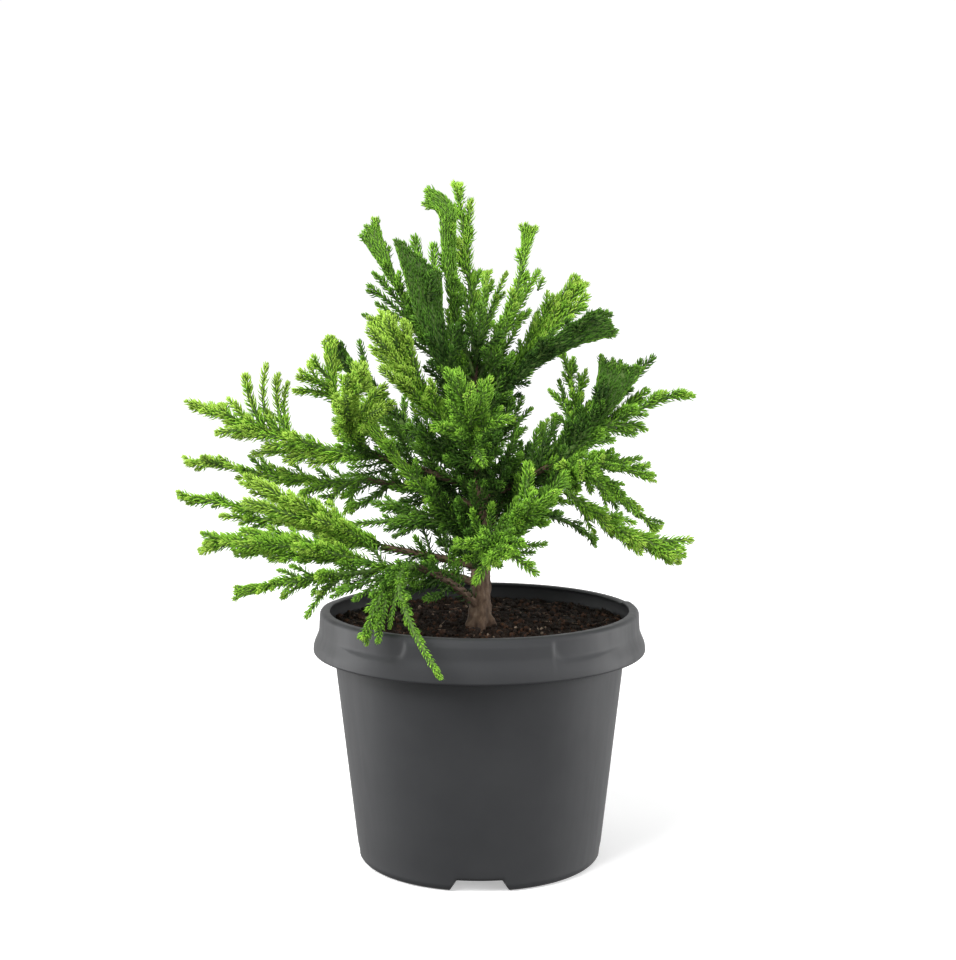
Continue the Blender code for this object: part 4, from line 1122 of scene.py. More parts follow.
def trunk_at(height):
    """The trunk's axis point at a height."""
    line = trunk_line()
    return np.array([np.interp(height, line[:, 2], line[:, axis]) for axis in range(3)])


def trunk_radius(height):
    """The trunk's radius: an even taper, and a short flare at the foot."""
    share = (height - TRUNK_FOOT[2]) / (TRUNK_TOP[2] - TRUNK_FOOT[2])
    taper = TRUNK_FOOT_RADIUS + (TRUNK_TOP_RADIUS - TRUNK_FOOT_RADIUS) * share
    return taper + FLARE_RADIUS * 0.5 * np.exp(-(height - TRUNK_FOOT[2]) / (FLARE_HEIGHT / 2))


def bough_line(bough, steps=25):
    """A bough's axis, from the trunk's axis to its tip."""
    foot = trunk_at(bough.foot)
    tip = place(bough.azimuth, bough.reach, bough.tip)
    first = unit(place(bough.azimuth, 1.0, math.tan(math.radians(bough.rise))))
    return arc(foot, foot + first * np.linalg.norm(tip - foot) * BOUGH_HANDLE, tip, steps)


def bough_radii(bough, count):
    """A bough's radius along its line, thickest at the trunk."""
    foot = trunk_radius(bough.foot) * BOUGH_FOOT_SHARE
    return np.linspace(max(foot, BOUGH_TIP_RADIUS + BOUGH_TAPER), BOUGH_TIP_RADIUS, count)


def barked(line, radii, columns, seed, lobes=None):
    """Rings round a limb whose radius rises and falls in ridges that run along it.

    The radius is multiplied by 1 + relief times a coarse ripple and a share of a fine one, both longer along
    the limb than round it. Lobes are added where they are given."""
    lengths = lengths_along(line)
    marks = np.linspace(0.0, lengths[-1], max(6, int(lengths[-1] / BARK_PITCH)))
    fine = at_length(line, marks)
    size = np.interp(marks, lengths, radii)
    angles = 2 * math.pi * np.arange(columns) / columns
    girth = size[:, None] * np.ones(columns)
    round_way = np.stack([np.cos(angles), np.sin(angles)], axis=-1)[None] * BARK_ROUND
    along_way = marks[:, None, None] * BARK_ALONG
    field = np.concatenate([np.broadcast_to(round_way, (len(marks), columns, 2)),
                            np.broadcast_to(along_way, (len(marks), columns, 1))], axis=-1)
    coarse = ripples(field, BARK_RIDGES[0], seed)
    relief = 1.0 + BARK_RELIEF * (coarse + BARK_FINE_SHARE * ripples(field, BARK_RIDGES[1], seed + 1))
    even = np.ones(len(fine))
    rings, _ = ellipse_rings(fine, BARK_FACING, even, even, columns)
    outward = rings - fine[:, None, :]
    swell = girth * relief
    if lobes is not None:
        swell = swell + lobes(marks)[:, None] * np.cos(FLARE_LOBES * angles)[None]
    return fine[:, None, :] + outward * swell[..., None], fine[[0, -1]], marks


def make_trunk(material):
    """The trunk, its foot sunk a little in the soil, with root lobes that die out upwards."""
    line = trunk_line()
    line[0] = line[0] - UP * TRUNK_SUNK
    radii = trunk_radius(np.maximum(line[:, 2], TRUNK_FOOT[2])) * TRUNK_SHARE

    def lobes(marks):
        """Lobe height: half the flare at the foot, falling off with height."""
        return FLARE_RADIUS * 0.5 * np.exp(-np.maximum(marks - TRUNK_SUNK, 0.0) / (FLARE_HEIGHT / 3))

    return tube_piece("trunk_bark", material, *barked(line, radii, TRUNK_COLUMNS, TRUNK_SEED, lobes))


def make_boughs(material):
    """Every bough, its root inside the trunk."""
    surface = Surface()
    for index, bough in enumerate(BOUGHS):
        line = bough_line(bough)
        girth = bough_radii(bough, len(line)) * WOOD_SHARE
        surface.add_tube(*barked(line, girth, BOUGH_COLUMNS, BOUGH_SEED + 2 * index))
    return surface.piece("bough_bark", material)


# Shoots

def fork_offset(mass, limb):
    """Sideways offset of a stem's root, so that stems on one bough's tip stand evenly round it."""
    mates = [m for m in MASSES if m.carrier == mass.carrier]
    if len(mates) == 1:
        return np.zeros(3)
    first = unit(limb[-1] - limb[-2])
    across = unit(np.cross(UP, first))
    above = np.cross(first, across)
    ways = [unit(place(m.azimuth, m.reach, m.tip) - limb[-1]) for m in mates]
    middle = sum(ways) / len(ways)
    turns = [math.atan2((way - middle) @ above, (way - middle) @ across) for way in ways]
    order = sorted(range(len(mates)), key=lambda index: turns[index])
    turn = turns[order[0]] + 2 * math.pi * order.index(mates.index(mass)) / len(mates)
    return (across * math.cos(turn) + above * math.sin(turn)) * FORK_SPREAD


def stem_line(mass, steps=61):
    """The axis of a mass's stem, from its carrier to the mass's furthest tip."""
    tip = place(mass.azimuth, mass.reach, mass.tip)
    if mass.carrier == "trunk":
        foot = trunk_at(mass.foot)
        first = UP
    else:
        carrier = next(b for b in BOUGHS if b.name == mass.carrier)
        line = bough_line(carrier)
        limb_way = unit(line[-1] - line[-2])
        foot = line[-1] + limb_way * (GAP + CORE_RADIUS * 0.5) + fork_offset(mass, line)
        first = unit(limb_way + FORK_SWING * unit(tip - foot))
    if mass.rise is not None and mass.rise < 90:
        span = tip - foot
        level = math.degrees(math.atan2(span[1], span[0]))
        first = unit(place(level, 1.0, math.tan(math.radians(mass.rise))))
    if mass.foot >= TRUNK_TOP[2]:
        foot = TRUNK_TOP + UP * GAP
    bow = np.array(BOWS.get(mass.name, (0.0, 0.0, 0.0)))
    control = foot + first * np.linalg.norm(tip - foot) * STEM_HANDLE + bow
    return arc(foot, control, tip, steps)


def side_way(stem, knot):
    """Directions at a knot of a stem: along it, across it, and above."""
    along = unit(stem[knot + 1] - stem[knot - 1])
    across = np.cross(UP, along)
    across = unit(across) if np.linalg.norm(across) > 0.3 else np.array([1.0, 0.0, 0.0])
    return along, across, np.cross(along, across)


def side_shoot(mass, stem, index, rng):
    """One side shoot of the solids' rule: it leaves the stem on the left or right by turns and bends up or
    down. Its random draws come in the same order as there."""
    start = FIRST_SHARE_TRUNK if mass.carrier == "trunk" else FIRST_SHARE_BOUGH
    order = (index + 0.5) / mass.shoots
    knot = int(round((start + (LAST_SHARE - start) * order) * (len(stem) - 1)))
    along, across, above = side_way(stem, knot)
    turn = math.pi * (index % 2) + rng.uniform(-TURN_SPREAD, TURN_SPREAD)
    outward = math.cos(turn) * across + (SIDE_RISE + SIDE_RISE_SWING * math.sin(turn)) * above
    heading = unit(along + unit(outward) * rng.uniform(LEAN_LEAST, LEAN_MOST))
    size = mass.side * rng.uniform(SIZE_LEAST, SIZE_MOST) * (SIZE_AT_ROOT - SIZE_LOSS * order)
    control = stem[knot] + heading * size * 0.5
    end = control + unit(heading + along * SIDE_CARRY + mass.lift * UP) * size * 0.5
    return arc(stem[knot], control, end, 13), above


def knot_at(line, share):
    """The number of the line's point at a share of it, without its two ends."""
    return min(max(1, int(round(share * (len(line) - 1)))), len(line) - 2)


def small_shoot(parent, share, size, lift, leans, rng):
    """A small shoot from a share of its parent's length, leaning out between two angles, any way round."""
    knot = knot_at(parent, share)
    along, across, above = side_way(parent, knot)
    turn = rng.uniform(0, 2 * math.pi)
    lean = math.radians(rng.uniform(*leans))
    heading = along * math.cos(lean) + (math.cos(turn) * across + math.sin(turn) * above) * math.sin(lean)
    control = parent[knot] + heading * size * 0.5
    end = control + unit(heading + along * SMALL_CARRY + lift * UP) * size * 0.5
    return arc(parent[knot], control, end, 9), above


def curled(line, first, degrees, axis):
    """The line with its steps past a share of it turned about an axis, evenly more up to the whole turn.

    A step v turns to v cos t + (axis x v) sin t, as the axis is square to it."""
    steps = np.diff(line, axis=0)
    share = np.linspace(0.0, 1.0, len(steps))
    turn = math.radians(degrees) * np.clip((share - first) / (1.0 - first), 0.0, 1.0)[:, None]
    steps = steps * np.cos(turn) + np.cross(np.array(axis), steps) * np.sin(turn)
    return np.concatenate([line[:1], line[0] + np.cumsum(steps, axis=0)])


def clear_of_pot(line):
    """Whether a shoot's needles keep off the rim and the soil."""
    out = np.linalg.norm(line[:, :2], axis=1)
    low = line[:, 2] - POT_CLEAR < RIM_TOP
    over_soil = (out + POT_CLEAR < LIP_INNER_RADIUS) & (line[:, 2] - POT_CLEAR > SOIL_TOP)
    return not (low & (out - POT_CLEAR < BAND_RADIUS) & ~over_soil).any()


def across_opening(line):
    """Whether a shoot crosses an opening. Its points are carried along the view to the plane of the trunk."""
    eye = np.array(CAMERA_PLACE)
    seen = eye + (line - eye) * (eye[1] / (eye[1] - line[:, 1]))[:, None]
    return any((np.hypot(seen[:, 0] - x, seen[:, 2] - z) < radius).any() for x, z, radius in OPENINGS)


def kept(shoots):
    """The shoots that keep off the pot and the openings, and all main stems."""
    return [shoot for shoot in shoots
            if shoot.level == 0 or (clear_of_pot(shoot.line) and not across_opening(shoot.line))]


def fine_shoot(line, facing, tone, needle=FINE_NEEDLE, radii=TWIGLET_RADII, bare=0.0, level=2, density=1.0):
    """A shoot without a crest."""
    return Shoot(line, facing, None, radii, bare, needle, density, tone, level)


def spurs(line, shares, size, lift, tone, rng):
    """Short shoots that stand close along a line, at these shares of it."""
    made = []
    for share in shares:
        finer, above = small_shoot(line, share, size * rng.uniform(*SPUR_SIZES), lift, SPUR_LEAN, rng)
        made.append(fine_shoot(finer, above, tone + rng.normal(*SPUR_TONE)))
    return made


def placed_twig(twig, stem, tone, rng):
    """A shoot from its place on a stem to its own tip, with spurs as far as it is stout.

    Its line is a quadratic curve that sets out between the stem's direction and its tip's."""
    knot = knot_at(stem, twig.share)
    along, _, above = side_way(stem, knot)
    tip = place(twig.azimuth, twig.reach, twig.tip)
    size = np.linalg.norm(tip - stem[knot])
    control = stem[knot] + unit(along * TWIG_STEM_WAY + unit(tip - stem[knot])) * size * TWIG_HANDLE
    line = arc(stem[knot], control, tip, 17)
    radii = tuple(thin + (thick - thin) * twig.stout for thin, thick in zip(SIDE_RADII, STOUT_RADII))
    shade = tone + twig.paler
    shoot = fine_shoot(line, above, shade, grown(TWIG_NEEDLE, twig.stout), radii, level=1,
                       density=grown(TWIG_DENSITY, twig.stout))
    shares = rng.uniform(*TWIG_SPUR_SHARES, int(size * grown(TWIG_SPURRED, twig.stout) / SPUR_PITCH))
    spur = SPUR_SIZE * grown(TWIG_SPUR_SIZE, twig.stout)
    return [shoot] + spurs(line, shares, spur, TWIG_SPUR_LIFT, shade, rng)


def crest_tips(stem, rng):
    """Blunt little shoots side by side along the end of a crest, fanned out as the crest is."""
    whole = lengths_along(stem.line)[-1]
    tangents, faces, sides = frames(stem.line, stem.facing)
    half = crest_width(stem, np.ones(1))[0]
    tips = []
    for edge in np.linspace(-CREST_TIP_EDGE, CREST_TIP_EDGE, 2 + int(stem.crest.width / CREST_TIP_PITCH)):
        back = crest_back(stem, np.array([whole]), np.array([edge]))[0]
        base = stem.line[-1] + sides[-1] * half * edge - tangents[-1] * (back + CREST_TIP_SUNK)
        waver = faces[-1] * rng.normal(0, CREST_TIP_WAVER)
        heading = unit(tangents[-1] + sides[-1] * edge * CREST_TIP_SPREAD + waver)
        size = CREST_TIP_SIZE * rng.uniform(*CREST_TIP_SIZES)
        line = arc(base, base + heading * size * 0.5, base + heading * size, 7)
        tone = stem.tone + rng.normal(*CREST_TIP_TONE)
        tips.append(fine_shoot(line, faces[-1], tone, TIP_NEEDLE, TIP_RADII))
    return tips


def main_stem_of(mass, growth):
    """The main stem of a mass as a shoot, bent as its curl says and facing as its crest says."""
    stem = stem_line(mass)
    if mass.name in CURLS:
        stem = curled(stem, *CURLS[mass.name])
    facing = np.cross(unit(stem[-1] - stem[0]), UP)
    facing = unit(facing) if np.linalg.norm(facing) > 0.2 else np.array([0.0, 1.0, 0.0])
    crest = CRESTS.get(mass.name)
    if crest and crest.face is not None:
        facing = place(crest.face, 1.0, 0.0)
    bare = BARE_AT_TRUNK if mass.carrier == "trunk" else 0.0
    return Shoot(stem, facing, crest, STEM_RADII, bare, growth.needles, 1.0, mass.tone, 0)


def side_shoots(mass, stem, growth, fine):
    """The side shoots of the solids' rule, as long as the mass's growth says, each with its twiglets."""
    rng = np.random.default_rng(mass.seed)
    made = []
    for index in range(mass.shoots):
        line, above = side_shoot(mass, stem, index, rng)
        line = line[0] + (line - line[0]) * growth.sides
        tone = mass.tone + fine.normal(0.0, SIDE_TONE_SPREAD)
        made.append(fine_shoot(line, above, tone, SIDE_NEEDLE, SIDE_RADII, level=1))
        whole = lengths_along(line)[-1] * TWIGLET_SIZE
        for _ in range(TWIGLETS):
            share = fine.uniform(*TWIGLET_SHARES)
            size = whole * fine.uniform(*TWIGLET_SIZES)
            finer, upper = small_shoot(line, share, size, mass.lift * TWIGLET_LIFT, TWIGLET_LEAN, fine)
            made.append(fine_shoot(finer, upper, tone - TWIGLET_DARKER))
    return made


def small_shoots(mass, stem, growth, fine):
    """Small shoots along the lower part of a stem, one in each equal stretch of it."""
    made = []
    for index in range(SMALL_PER_STEM):
        share = SMALL_FIRST + (SMALL_LAST - SMALL_FIRST) * (index + fine.uniform(0, 1)) / SMALL_PER_STEM
        size = mass.side * SMALL_SIZE * fine.uniform(*SMALL_SIZES) * grown(SMALL_BY_SIDES, growth.sides)
        line, above = small_shoot(stem, share, size, mass.lift * SMALL_LIFT, SMALL_LEAN, fine)
        made.append(fine_shoot(line, above, mass.tone + fine.normal(*SMALL_TONE)))
    return made


def grow_mass(mass):
    """Every shoot of a mass: the stem, the solids' side shoots with their twiglets, small shoots between
    them, short spurs close along the stem, shoots with a place of their own, and the tips of its crest, or a
    tuft of spurs at its end."""
    growth = GROWTH.get(mass.name, USUAL)
    main_stem = main_stem_of(mass, growth)
    stem, crest = main_stem.line, main_stem.crest
    fine = np.random.default_rng(FINE_SEED + mass.seed)
    shoots = side_shoots(mass, stem, growth, fine) + small_shoots(mass, stem, growth, fine)
    last = crest.start + SPUR_OVER_CREST if crest else SPUR_LAST
    shares = np.arange(SPUR_FIRST, last, SPUR_PITCH / lengths_along(stem)[-1])
    shoots += spurs(stem, shares, SPUR_SIZE * growth.spurs, mass.lift * SPUR_LIFT, mass.tone, fine)
    for row in TWIGS.get(mass.name, ()):
        shoots += placed_twig(Twig(*row), stem, mass.tone, fine)
    if crest:
        shoots += crest_tips(main_stem, fine)
    else:
        size = SPUR_SIZE * TUFT_SIZE * growth.spurs
        shoots += spurs(stem, TUFT_SHARES, size, TUFT_LIFT, mass.tone + TUFT_PALER, fine)
    shoots = [shoot._replace(needle=shoot.needle * growth.needles) for shoot in shoots]
    return kept([main_stem] + shoots)


def clothe_boughs(rng):
    """The needles on each bough's own wood, and short dark shoots along it."""
    wood, shoots = [], []
    for bough in BOUGHS:
        line = bough_line(bough)
        girth = tuple(bough_radii(bough, 2) * WOOD_SHARE)
        wood.append(Shoot(line, UP, None, girth, BARE_ON_BOUGH, needle=1.0, density=0.9, tone=0.8, level=3))
        for share in np.linspace(*BOUGH_SHOOT_SHARES, BOUGH_SHOOTS):
            size = BOUGH_SHOOT_LENGTH * rng.uniform(*BOUGH_SHOOT_SIZES)
            finer, above = small_shoot(line, share, size, BOUGH_SHOOT_LIFT, LIMB_LEAN, rng)
            shoots.append(fine_shoot(finer, above, rng.uniform(*LIMB_TONES), SIDE_NEEDLE))
    return wood, shoots


def clothe_trunk(rng):
    """The needles on the trunk's upper part, and short dark shoots with twiglets along it."""
    stem = trunk_line()
    clothed = stem[stem[:, 2] > CLOTHED_FROM]
    girth = (trunk_radius(CLOTHED_FROM), TRUNK_TOP_RADIUS)
    facing = np.array([1.0, 0.0, 0.0])
    wood = Shoot(clothed, facing, None, girth, bare=0.0, needle=1.0, density=1.0, tone=0.7, level=3)
    shoots = []
    for share in np.linspace(*TRUNK_SHOOT_SHARES, TRUNK_SHOOTS):
        size = TRUNK_SHOOT_LENGTH * rng.uniform(*TRUNK_SHOOT_SIZES)
        finer, above = small_shoot(stem, share, size, TRUNK_SHOOT_LIFT, LIMB_LEAN, rng)
        tone = rng.uniform(*LIMB_TONES)
        shoots.append(fine_shoot(finer, above, tone, SIDE_NEEDLE, SIDE_RADII, BARE_ON_TRUNK_SHOOT))
        for _ in range(TWIGLETS):
            share = rng.uniform(*TRUNK_TWIGLET_SHARES)
            short = size * TWIGLET_SIZE
            twig, upper = small_shoot(finer, share, short, TRUNK_TWIGLET_LIFT, TWIGLET_LEAN, rng)
            shoots.append(fine_shoot(twig, upper, tone))
    return wood, shoots


def grow_limbs():
    """What clothes the boughs and the trunk inside the crown: needles on the wood, and short dark shoots."""
    rng = np.random.default_rng(FINE_SEED)
    wood, shoots = clothe_boughs(rng)
    trunk_wood, trunk_shoots = clothe_trunk(rng)
    return wood + [trunk_wood], kept(shoots + trunk_shoots)


def crest_width(shoot, shares):
    """Half width that a crest adds to its stem: nearly straight-sided, from nothing to half the crest."""
    if not shoot.crest:
        return np.zeros_like(shares)
    past_start = np.clip((shares - shoot.crest.start) / (1.0 - shoot.crest.start), 0.0, 1.0)
    return shoot.crest.width / 2 * past_start ** CREST_GROWTH


def crest_back(shoot, lengths, across):
    """How far the points of a crest are set back along it: by the square of their place across it, and by
    the slant of its end."""
    if not shoot.crest:
        return np.zeros_like(lengths * across)
    whole = lengths_along(shoot.line)[-1]
    late = smooth_step(0.5, 1.0, lengths / whole)
    end = shoot.crest.bow * across ** 2 - shoot.crest.slant * across
    return crest_width(shoot, lengths / whole) * late * end


def stem_section(shoot, lengths):
    """Half width and half thickness of a shoot's stem at distances along it."""
    whole = lengths_along(shoot.line)[-1]
    shares = lengths / whole
    radius = shoot.radii[0] + (shoot.radii[1] - shoot.radii[0]) * shares
    wide = crest_width(shoot, shares)
    return radius + wide, radius * (1.0 + 0.5 * smooth_step(0.0, 0.004, wide))


def make_stems(shoots, name, material):
    """The stems of shoots as tapering tubes, elliptic where a crest widens them and pulled in at the tip."""
    surface = Surface()
    for shoot in shoots:
        whole = lengths_along(shoot.line)[-1]
        rows, columns = CREST_GRID if shoot.crest else (STEM_GRID if shoot.level == 0 else SHOOT_GRID)
        crowding = CREST_CROWDING if shoot.crest else 1.0
        marks = whole * (1.0 - (1.0 - np.linspace(0.0, 1.0, rows)) ** crowding)
        wide, thick = stem_section(shoot, marks)
        close = np.sqrt(np.clip((whole - marks) / STEM_CLOSE, 0.02, 1.0))
        wide = wide * (0.85 + 0.15 * close)
        line = at_length(shoot.line, marks)
        rings, tangents = ellipse_rings(line, shoot.facing, wide, thick * close, columns)
        across = np.cos(2 * math.pi * np.arange(columns) / columns)[None, :]
        back = crest_back(shoot, marks[:, None], across)[..., None] * tangents[:, None, :]
        surface.add_tube(rings - back, shoot.line[[0, -1]], marks)
    return surface.piece(name, material)


# Needles

def needle_arrays(bases, ways, bends, outs, lengths, girths, bend):
    """Needles of seven points: a ring of three at the base, one of three half way, and the tip.

    A point of the axis is base + length (t way + bend t^2 (bends - way)). The ring's points lie at 90, 210
    and 330 degrees, from the direction across towards the outward one."""
    across = unit(np.cross(outs, ways))
    above = np.cross(ways, across)
    angles = np.radians([90.0, 210.0, 330.0])
    section = (np.sin(angles)[None, :, None] * above[:, None, :] * NEEDLE_THICKNESS
               + np.cos(angles)[None, :, None] * across[:, None, :] * NEEDLE_WIDTH)
    section = section * girths[:, None, None]
    turn = bends - ways

    def axis(t):
        """The axis point at a share of the needle's length."""
        return bases + lengths[:, None] * (t * ways + bend * t * t * turn)

    root = axis(0.0)[:, None, :] + section * 0.8
    middle = axis(0.5)[:, None, :] + section
    points = np.concatenate([root, middle, axis(1.0)[:, None, :]], axis=1)
    faces = np.array([[0, 1, 4], [0, 4, 3], [1, 2, 5], [1, 5, 4], [2, 0, 3], [2, 3, 5],
                      [3, 4, 6], [4, 5, 6], [5, 3, 6], [0, 2, 1]])
    numbers = faces[None] + 7 * np.arange(len(bases))[:, None, None]
    return points.reshape(-1, 3), numbers.reshape(-1, 3)


def needle_marks(shoot, rng):
    """Distances along a shoot at which needles stand, denser at the bud and over a crest's breadth.

    The count to the metre is summed along the shoot, and needles stand at equal steps of that sum."""
    whole = lengths_along(shoot.line)[-1]
    steps = np.linspace(shoot.bare, whole, 160)
    bud = np.exp(-(whole - steps) / (BUD_LENGTH / 2))
    density = NEEDLES_PER_METRE * shoot.density * (DENSITY_AT_ROOT + DENSITY_GAIN * steps / whole)
    breadth = crest_width(shoot, steps / whole)
    density = density + NEEDLES_AT_BUD * bud + 4 * breadth / CREST_PITCH ** 2
    total = np.concatenate([[0.0], np.cumsum((density[1:] + density[:-1]) / 2 * np.diff(steps))])
    count = int(total[-1])
    marks = np.interp((np.arange(count) + rng.uniform(0.2, 0.8, count)) / count * total[-1], total, steps)
    return marks, whole


def between(marks, order, ways):
    """Directions at marks, from those at an ordered row of places."""
    return unit(np.stack([np.interp(marks, order, ways[:, axis]) for axis in range(3)], axis=-1))


def turns_round(count, flat, rng):
    """Angles round a stem: by the golden angle, and spread evenly across both faces where it is flat."""
    turn = np.arange(count) * GOLDEN_TURN + rng.uniform(0, 2 * math.pi)
    turn = (turn + rng.normal(0, NEEDLE_TURN_SPREAD, count)) % (2 * math.pi)
    spread = np.where(turn < math.pi, 1.0 - 2.0 * turn / math.pi, 2.0 * turn / math.pi - 3.0)
    even = np.where(turn < math.pi, np.arccos(spread), 2 * math.pi - np.arccos(spread))
    return turn * (1.0 - flat) + even * flat


def opening_angles(share, flat, close, rng):
    """The angle between each needle and its shoot: it falls from root to tip, and closes over the bud."""
    opening = OPEN_AT_ROOT + (OPEN_AT_TIP - OPEN_AT_ROOT) * share
    opening = opening * (1.0 - flat) + CREST_OPEN * flat
    opening = OPEN_AT_BUD + (opening - OPEN_AT_BUD) * close + rng.normal(0, NEEDLE_OPEN_SPREAD, len(share))
    return np.radians(opening)[:, None]


def needle_tones(shoot, share, flat, close, across, bases):
    """Each needle's tone: paler towards the shoot's tip and a crest's edges, and painted shade deep in the
    crown.
    """
    rise = TONE_RISE * (share - TONE_OWN_AT) + TONE_BUD * (1.0 - close)
    tones = shoot.tone + rise * (1.0 - TONE_CALM_FLAT * flat) + painted_shade_inside(bases)
    rim = RIM_PALER + RIM_PALER_WHERE_DARK * max(0.0, RIM_DARK_BELOW - shoot.tone)
    return tones + rim * flat * smooth_step(*RIM_EDGE, np.abs(across))


def needles_of(shoot, rng):
    """One shoot's needles, as bases, ways, bends, outward directions, lengths, girths and tones.

    A needle's base is the line's point, plus the side by half the width cos a, plus the facing by half the
    thickness sin a, less the crest's setting back. It sets out at its opening angle between the shoot's way
    and the outward direction, and bends towards the shoot's way."""
    marks, whole = needle_marks(shoot, rng)
    count = len(marks)
    share = marks / whole
    close = smooth_step(0.0, BUD_LENGTH, whole - marks)
    wide, thick = stem_section(shoot, marks)
    flat = np.clip((wide - thick) / np.maximum(wide, 1e-6), 0.0, 1.0)
    order = np.linspace(0.0, whole, 40)
    tangents, faces, sides = (between(marks, order, directions)
                              for directions in frames(at_length(shoot.line, order), shoot.facing))
    angle = turns_round(count, flat, rng)
    across = np.cos(angle)
    outward = np.sin(angle)
    normal = unit(sides * (across * thick)[:, None] + faces * (outward * wide)[:, None])
    bases = at_length(shoot.line, marks) + sides * (across * wide)[:, None]
    bases = bases + faces * (outward * thick)[:, None]
    bases = bases - tangents * crest_back(shoot, marks, across)[:, None]
    widening = crest_width(shoot, np.minimum(share + FAN_STEP, 1.0)) - crest_width(shoot, share)
    fan = np.arctan2(widening, FAN_STEP * whole) * CREST_FAN
    forward = unit(tangents + sides * (np.tan(fan) * across)[:, None])
    opening = opening_angles(share, flat, close, rng)
    waver = rng.normal(0, NEEDLE_WAY_SPREAD, (count, 3))
    ways = unit(forward * np.cos(opening) + normal * np.sin(opening) + waver)
    lengths = NEEDLE_LENGTH * shoot.needle * grown(LENGTH_ALONG, share) * grown(LENGTH_FROM_BUD, close)
    lengths = lengths * (1.0 - (1.0 - CREST_NEEDLE) * flat) * rng.uniform(*NEEDLE_LENGTHS, count)
    girths = rng.uniform(*NEEDLE_GIRTHS, count) * grown(GIRTH_FROM_BUD, close)
    tones = needle_tones(shoot, share, flat, close, across, bases)
    return bases - normal * NEEDLE_SINK, ways, forward, normal, lengths, girths, tones


def painted_shade_inside(points):
    """Painted shade deep in the crown: needles nearly a tone darker at the trunk, except high up."""
    out = np.linalg.norm(points[:, :2], axis=1)
    high = smooth_step(*PAINTED_SHADE_UP, points[:, 2])
    return PAINTED_SHADE_DROP * (1.0 - smooth_step(*PAINTED_SHADE_OUT, out)) * (1.0 - high)


def deal_by_tone(shoot, gathered, rng):
    """One shoot's needles, dealt out by tone: a crest's one by one, and other shoots' in sprays."""
    columns = needles_of(shoot, rng)
    count = len(columns[0])
    spray = np.minimum(np.arange(count) * SPRAYS // max(1, count), SPRAYS - 1)
    tones = columns[6]
    for part in range(SPRAYS):
        mine = spray == part
        if not mine.any():
            continue
        level = tones[mine] if shoot.crest else tones[mine].mean()
        dealt = np.floor(level + rng.normal(0, SPRAY_TONE_SPREAD, mine.sum()) + 0.5)
        dealt = np.clip(dealt, 0, len(TONES) - 1)
        for tone, group in enumerate(gathered):
            pick = dealt == tone
            if pick.any():
                group.append([column[mine][pick] for column in columns[:6]])


def make_needles(shoots, materials):
    """Every shoot's needles, dealt out by tone, each tone in pieces of its own."""
    rng = np.random.default_rng(NEEDLE_SEED)
    gathered = [[] for _ in TONES]
    for shoot in shoots:
        deal_by_tone(shoot, gathered, rng)
    pieces = []
    for tone, groups in zip(TONES, gathered):
        if not groups:
            continue
        whole = [np.concatenate(parts) for parts in zip(*groups)]
        parts = math.ceil(len(whole[0]) / PIECE_NEEDLES)
        for part, picked in enumerate(np.array_split(np.arange(len(whole[0])), parts)):
            points, faces = needle_arrays(*(column[picked] for column in whole), NEEDLE_BEND)
            name = "needles_{}_{}".format(tone, part + 1)
            pieces.append(triangle_piece(name, materials[tone], points, faces))
    return pieces


# The stage, the lights and the camera

def make_stage():
    """A wide pale floor. It is left out of what lights the plant from below, which keeps the pot dark."""
    surface = Surface()
    corners = FLOOR_REACH * np.array([[-1, -1, 0], [1, -1, 0], [1, 1, 0], [-1, 1, 0]], float)
    surface.add(corners, np.array([[0, 1, 2, 3]]), np.zeros((0, 3), int))
    floor = surface.piece("floor", floor_white(), smooth=False)
    floor.visible_diffuse = False
    floor.visible_glossy = False


def area_light(light):
    """A soft square light at its place, turned towards the one point and not seen itself."""
    data = bpy.data.lights.new(light.name, "AREA")
    data.shape = "SQUARE"
    data.size = light.size
    data.energy = light.power
    made = bpy.data.objects.new(light.name, data)
    away = unit(np.array(light.place) - np.array(LIGHT_AIM))
    made.location = light.place
    made.rotation_euler = (math.acos(away[2]), 0.0, math.atan2(away[1], away[0]) + math.pi / 2)
    made.visible_camera = False
    made.visible_glossy = light.glossy
    bpy.context.scene.collection.objects.link(made)


def make_surroundings():
    """White surroundings, full at the horizon, weaker overhead and below, and weakest below and behind."""
    world = bpy.data.worlds.new("studio")
    world.use_nodes = True
    tree = world.node_tree
    way = add_node(tree, "ShaderNodeSeparateXYZ")
    tree.links.new(add_node(tree, "ShaderNodeTexCoord").outputs["Generated"], way.inputs["Vector"])
    strength = mapped(tree, way.outputs["Z"], *BELOW)
    for operation, output, band in (("MULTIPLY", "Y", BEHIND_CAMERA), ("MAXIMUM", "Z", HORIZON),
                                    ("MULTIPLY", "Z", OVERHEAD)):
        joined = add_node(tree, "ShaderNodeMath", operation=operation)
        tree.links.new(strength, joined.inputs[0])
        tree.links.new(mapped(tree, way.outputs[output], *band), joined.inputs[1])
        strength = joined.outputs["Value"]
    whole = add_node(tree, "ShaderNodeMath", {1: SKY_LIGHT}, operation="MULTIPLY")
    tree.links.new(strength, whole.inputs[0])
    tree.links.new(whole.outputs["Value"], tree.nodes["Background"].inputs["Strength"])
    tree.nodes["Background"].inputs["Color"].default_value = (1.0, 1.0, 1.0, 1.0)
    bpy.context.scene.world = world


def make_lights():
    """White surroundings, a soft key from the upper left, and weaker lights from the right and the sides."""
    make_surroundings()
    for light in LIGHTS:
        area_light(light)


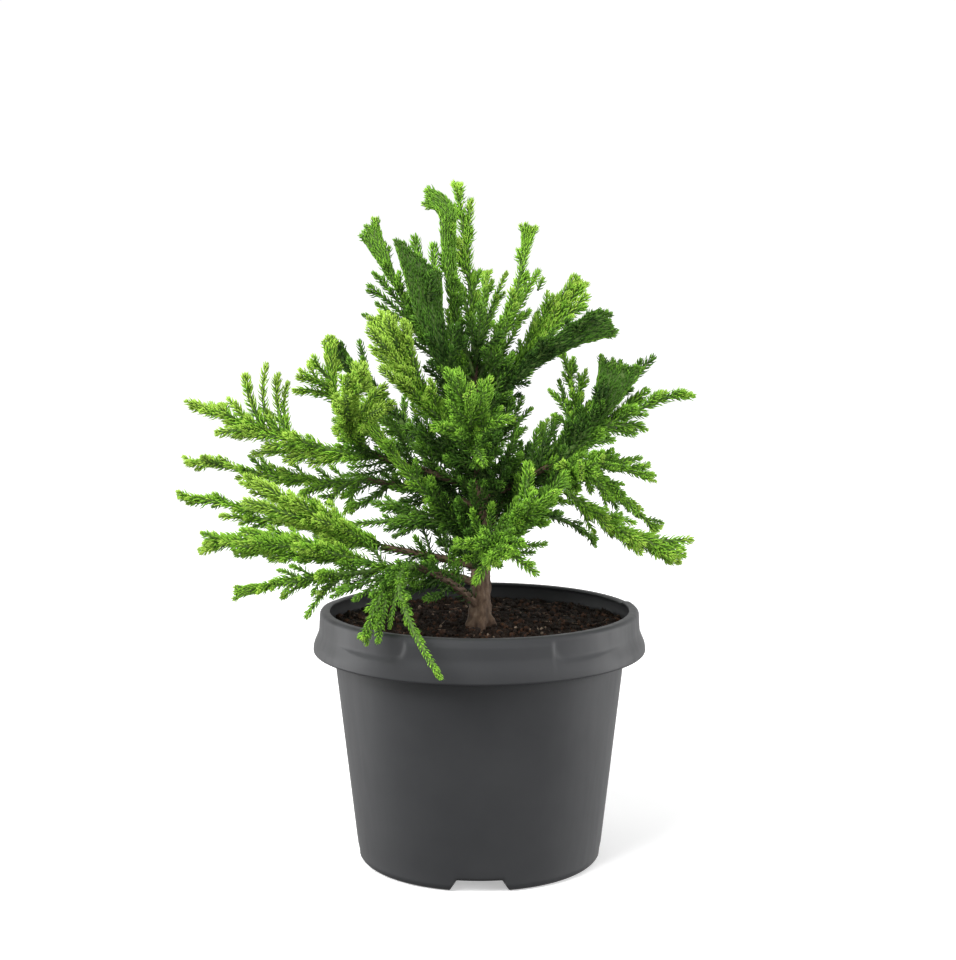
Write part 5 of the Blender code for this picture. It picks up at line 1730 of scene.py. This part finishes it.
def make_camera():
    """The camera of the photograph: 0.9 m away, looking slightly down."""
    data = bpy.data.cameras.new("camera")
    data.lens = CAMERA_LENS
    data.sensor_width = 36.0
    data.clip_start = 0.01
    camera = bpy.data.objects.new("camera", data)
    camera.location = CAMERA_PLACE
    camera.rotation_euler = (math.radians(90.0 - CAMERA_DOWN), 0.0, 0.0)
    bpy.context.scene.collection.objects.link(camera)
    bpy.context.scene.camera = camera


# Everything in the frame

def stand_in(piece, nodes):
    """The piece rides on the one body and stands for CAD nodes, which are hidden."""
    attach(piece, "root")
    if nodes:
        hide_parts(*nodes)


def dress_pot():
    """The pot, the soil in it, and the crumbs and fibres on the soil."""
    stand_in(make_pot(pot_plastic()), ["pot"])
    dark_peat = peat("peat_dark", (0.005, 0.003, 0.002), (0.024, 0.013, 0.008), 700.0)
    red_peat = peat("peat_red", (0.018, 0.009, 0.005), (0.080, 0.037, 0.020), 700.0)
    pale_peat = peat("peat_pale", (0.120, 0.080, 0.055), (0.320, 0.250, 0.190), 900.0)
    stand_in(make_soil(dark_peat), ["soil"])
    crumbs = ((dark_peat, 0.66, 0.0006, 0.0020),
              (red_peat, 0.28, 0.0006, 0.0019),
              (pale_peat, 0.06, 0.0004, 0.0011))
    for piece in make_crumbs(crumbs):
        stand_in(piece, ["soil"])
    stand_in(make_fibres(pale_peat), ["soil"])


def dress_plant():
    """The bark of trunk and boughs, the green stems, and the needles."""
    rough_bark = bark()
    boughs = ["bough_" + bough.name for bough in BOUGHS]
    masses = ["foliage_" + mass.name for mass in MASSES]
    stand_in(make_trunk(rough_bark), ["trunk"])
    stand_in(make_boughs(rough_bark), boughs)
    shoots = [shoot for mass in MASSES for shoot in grow_mass(mass)]
    wood, inner = grow_limbs()
    stems = [shoot for shoot in shoots if shoot.level == 0]
    finer = [shoot for shoot in shoots + inner if shoot.level > 0]
    green = twig_skin("green_stem", (0.050, 0.110, 0.020), (0.120, 0.190, 0.045))
    stand_in(make_stems(stems, "main_stems", green), masses)
    stand_in(make_stems(finer, "side_stems", green), masses)
    greens = {tone: needle_green(tone) for tone in TONES}
    for piece in make_needles(shoots + inner + wood, greens):
        stand_in(piece, masses)


def main():
    """Set the stage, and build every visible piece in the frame."""
    make_camera()
    make_lights()
    make_stage()
    bpy.context.scene.view_settings.view_transform = "Standard"
    dress_pot()
    dress_plant()
    bpy.context.view_layer.update()


main()
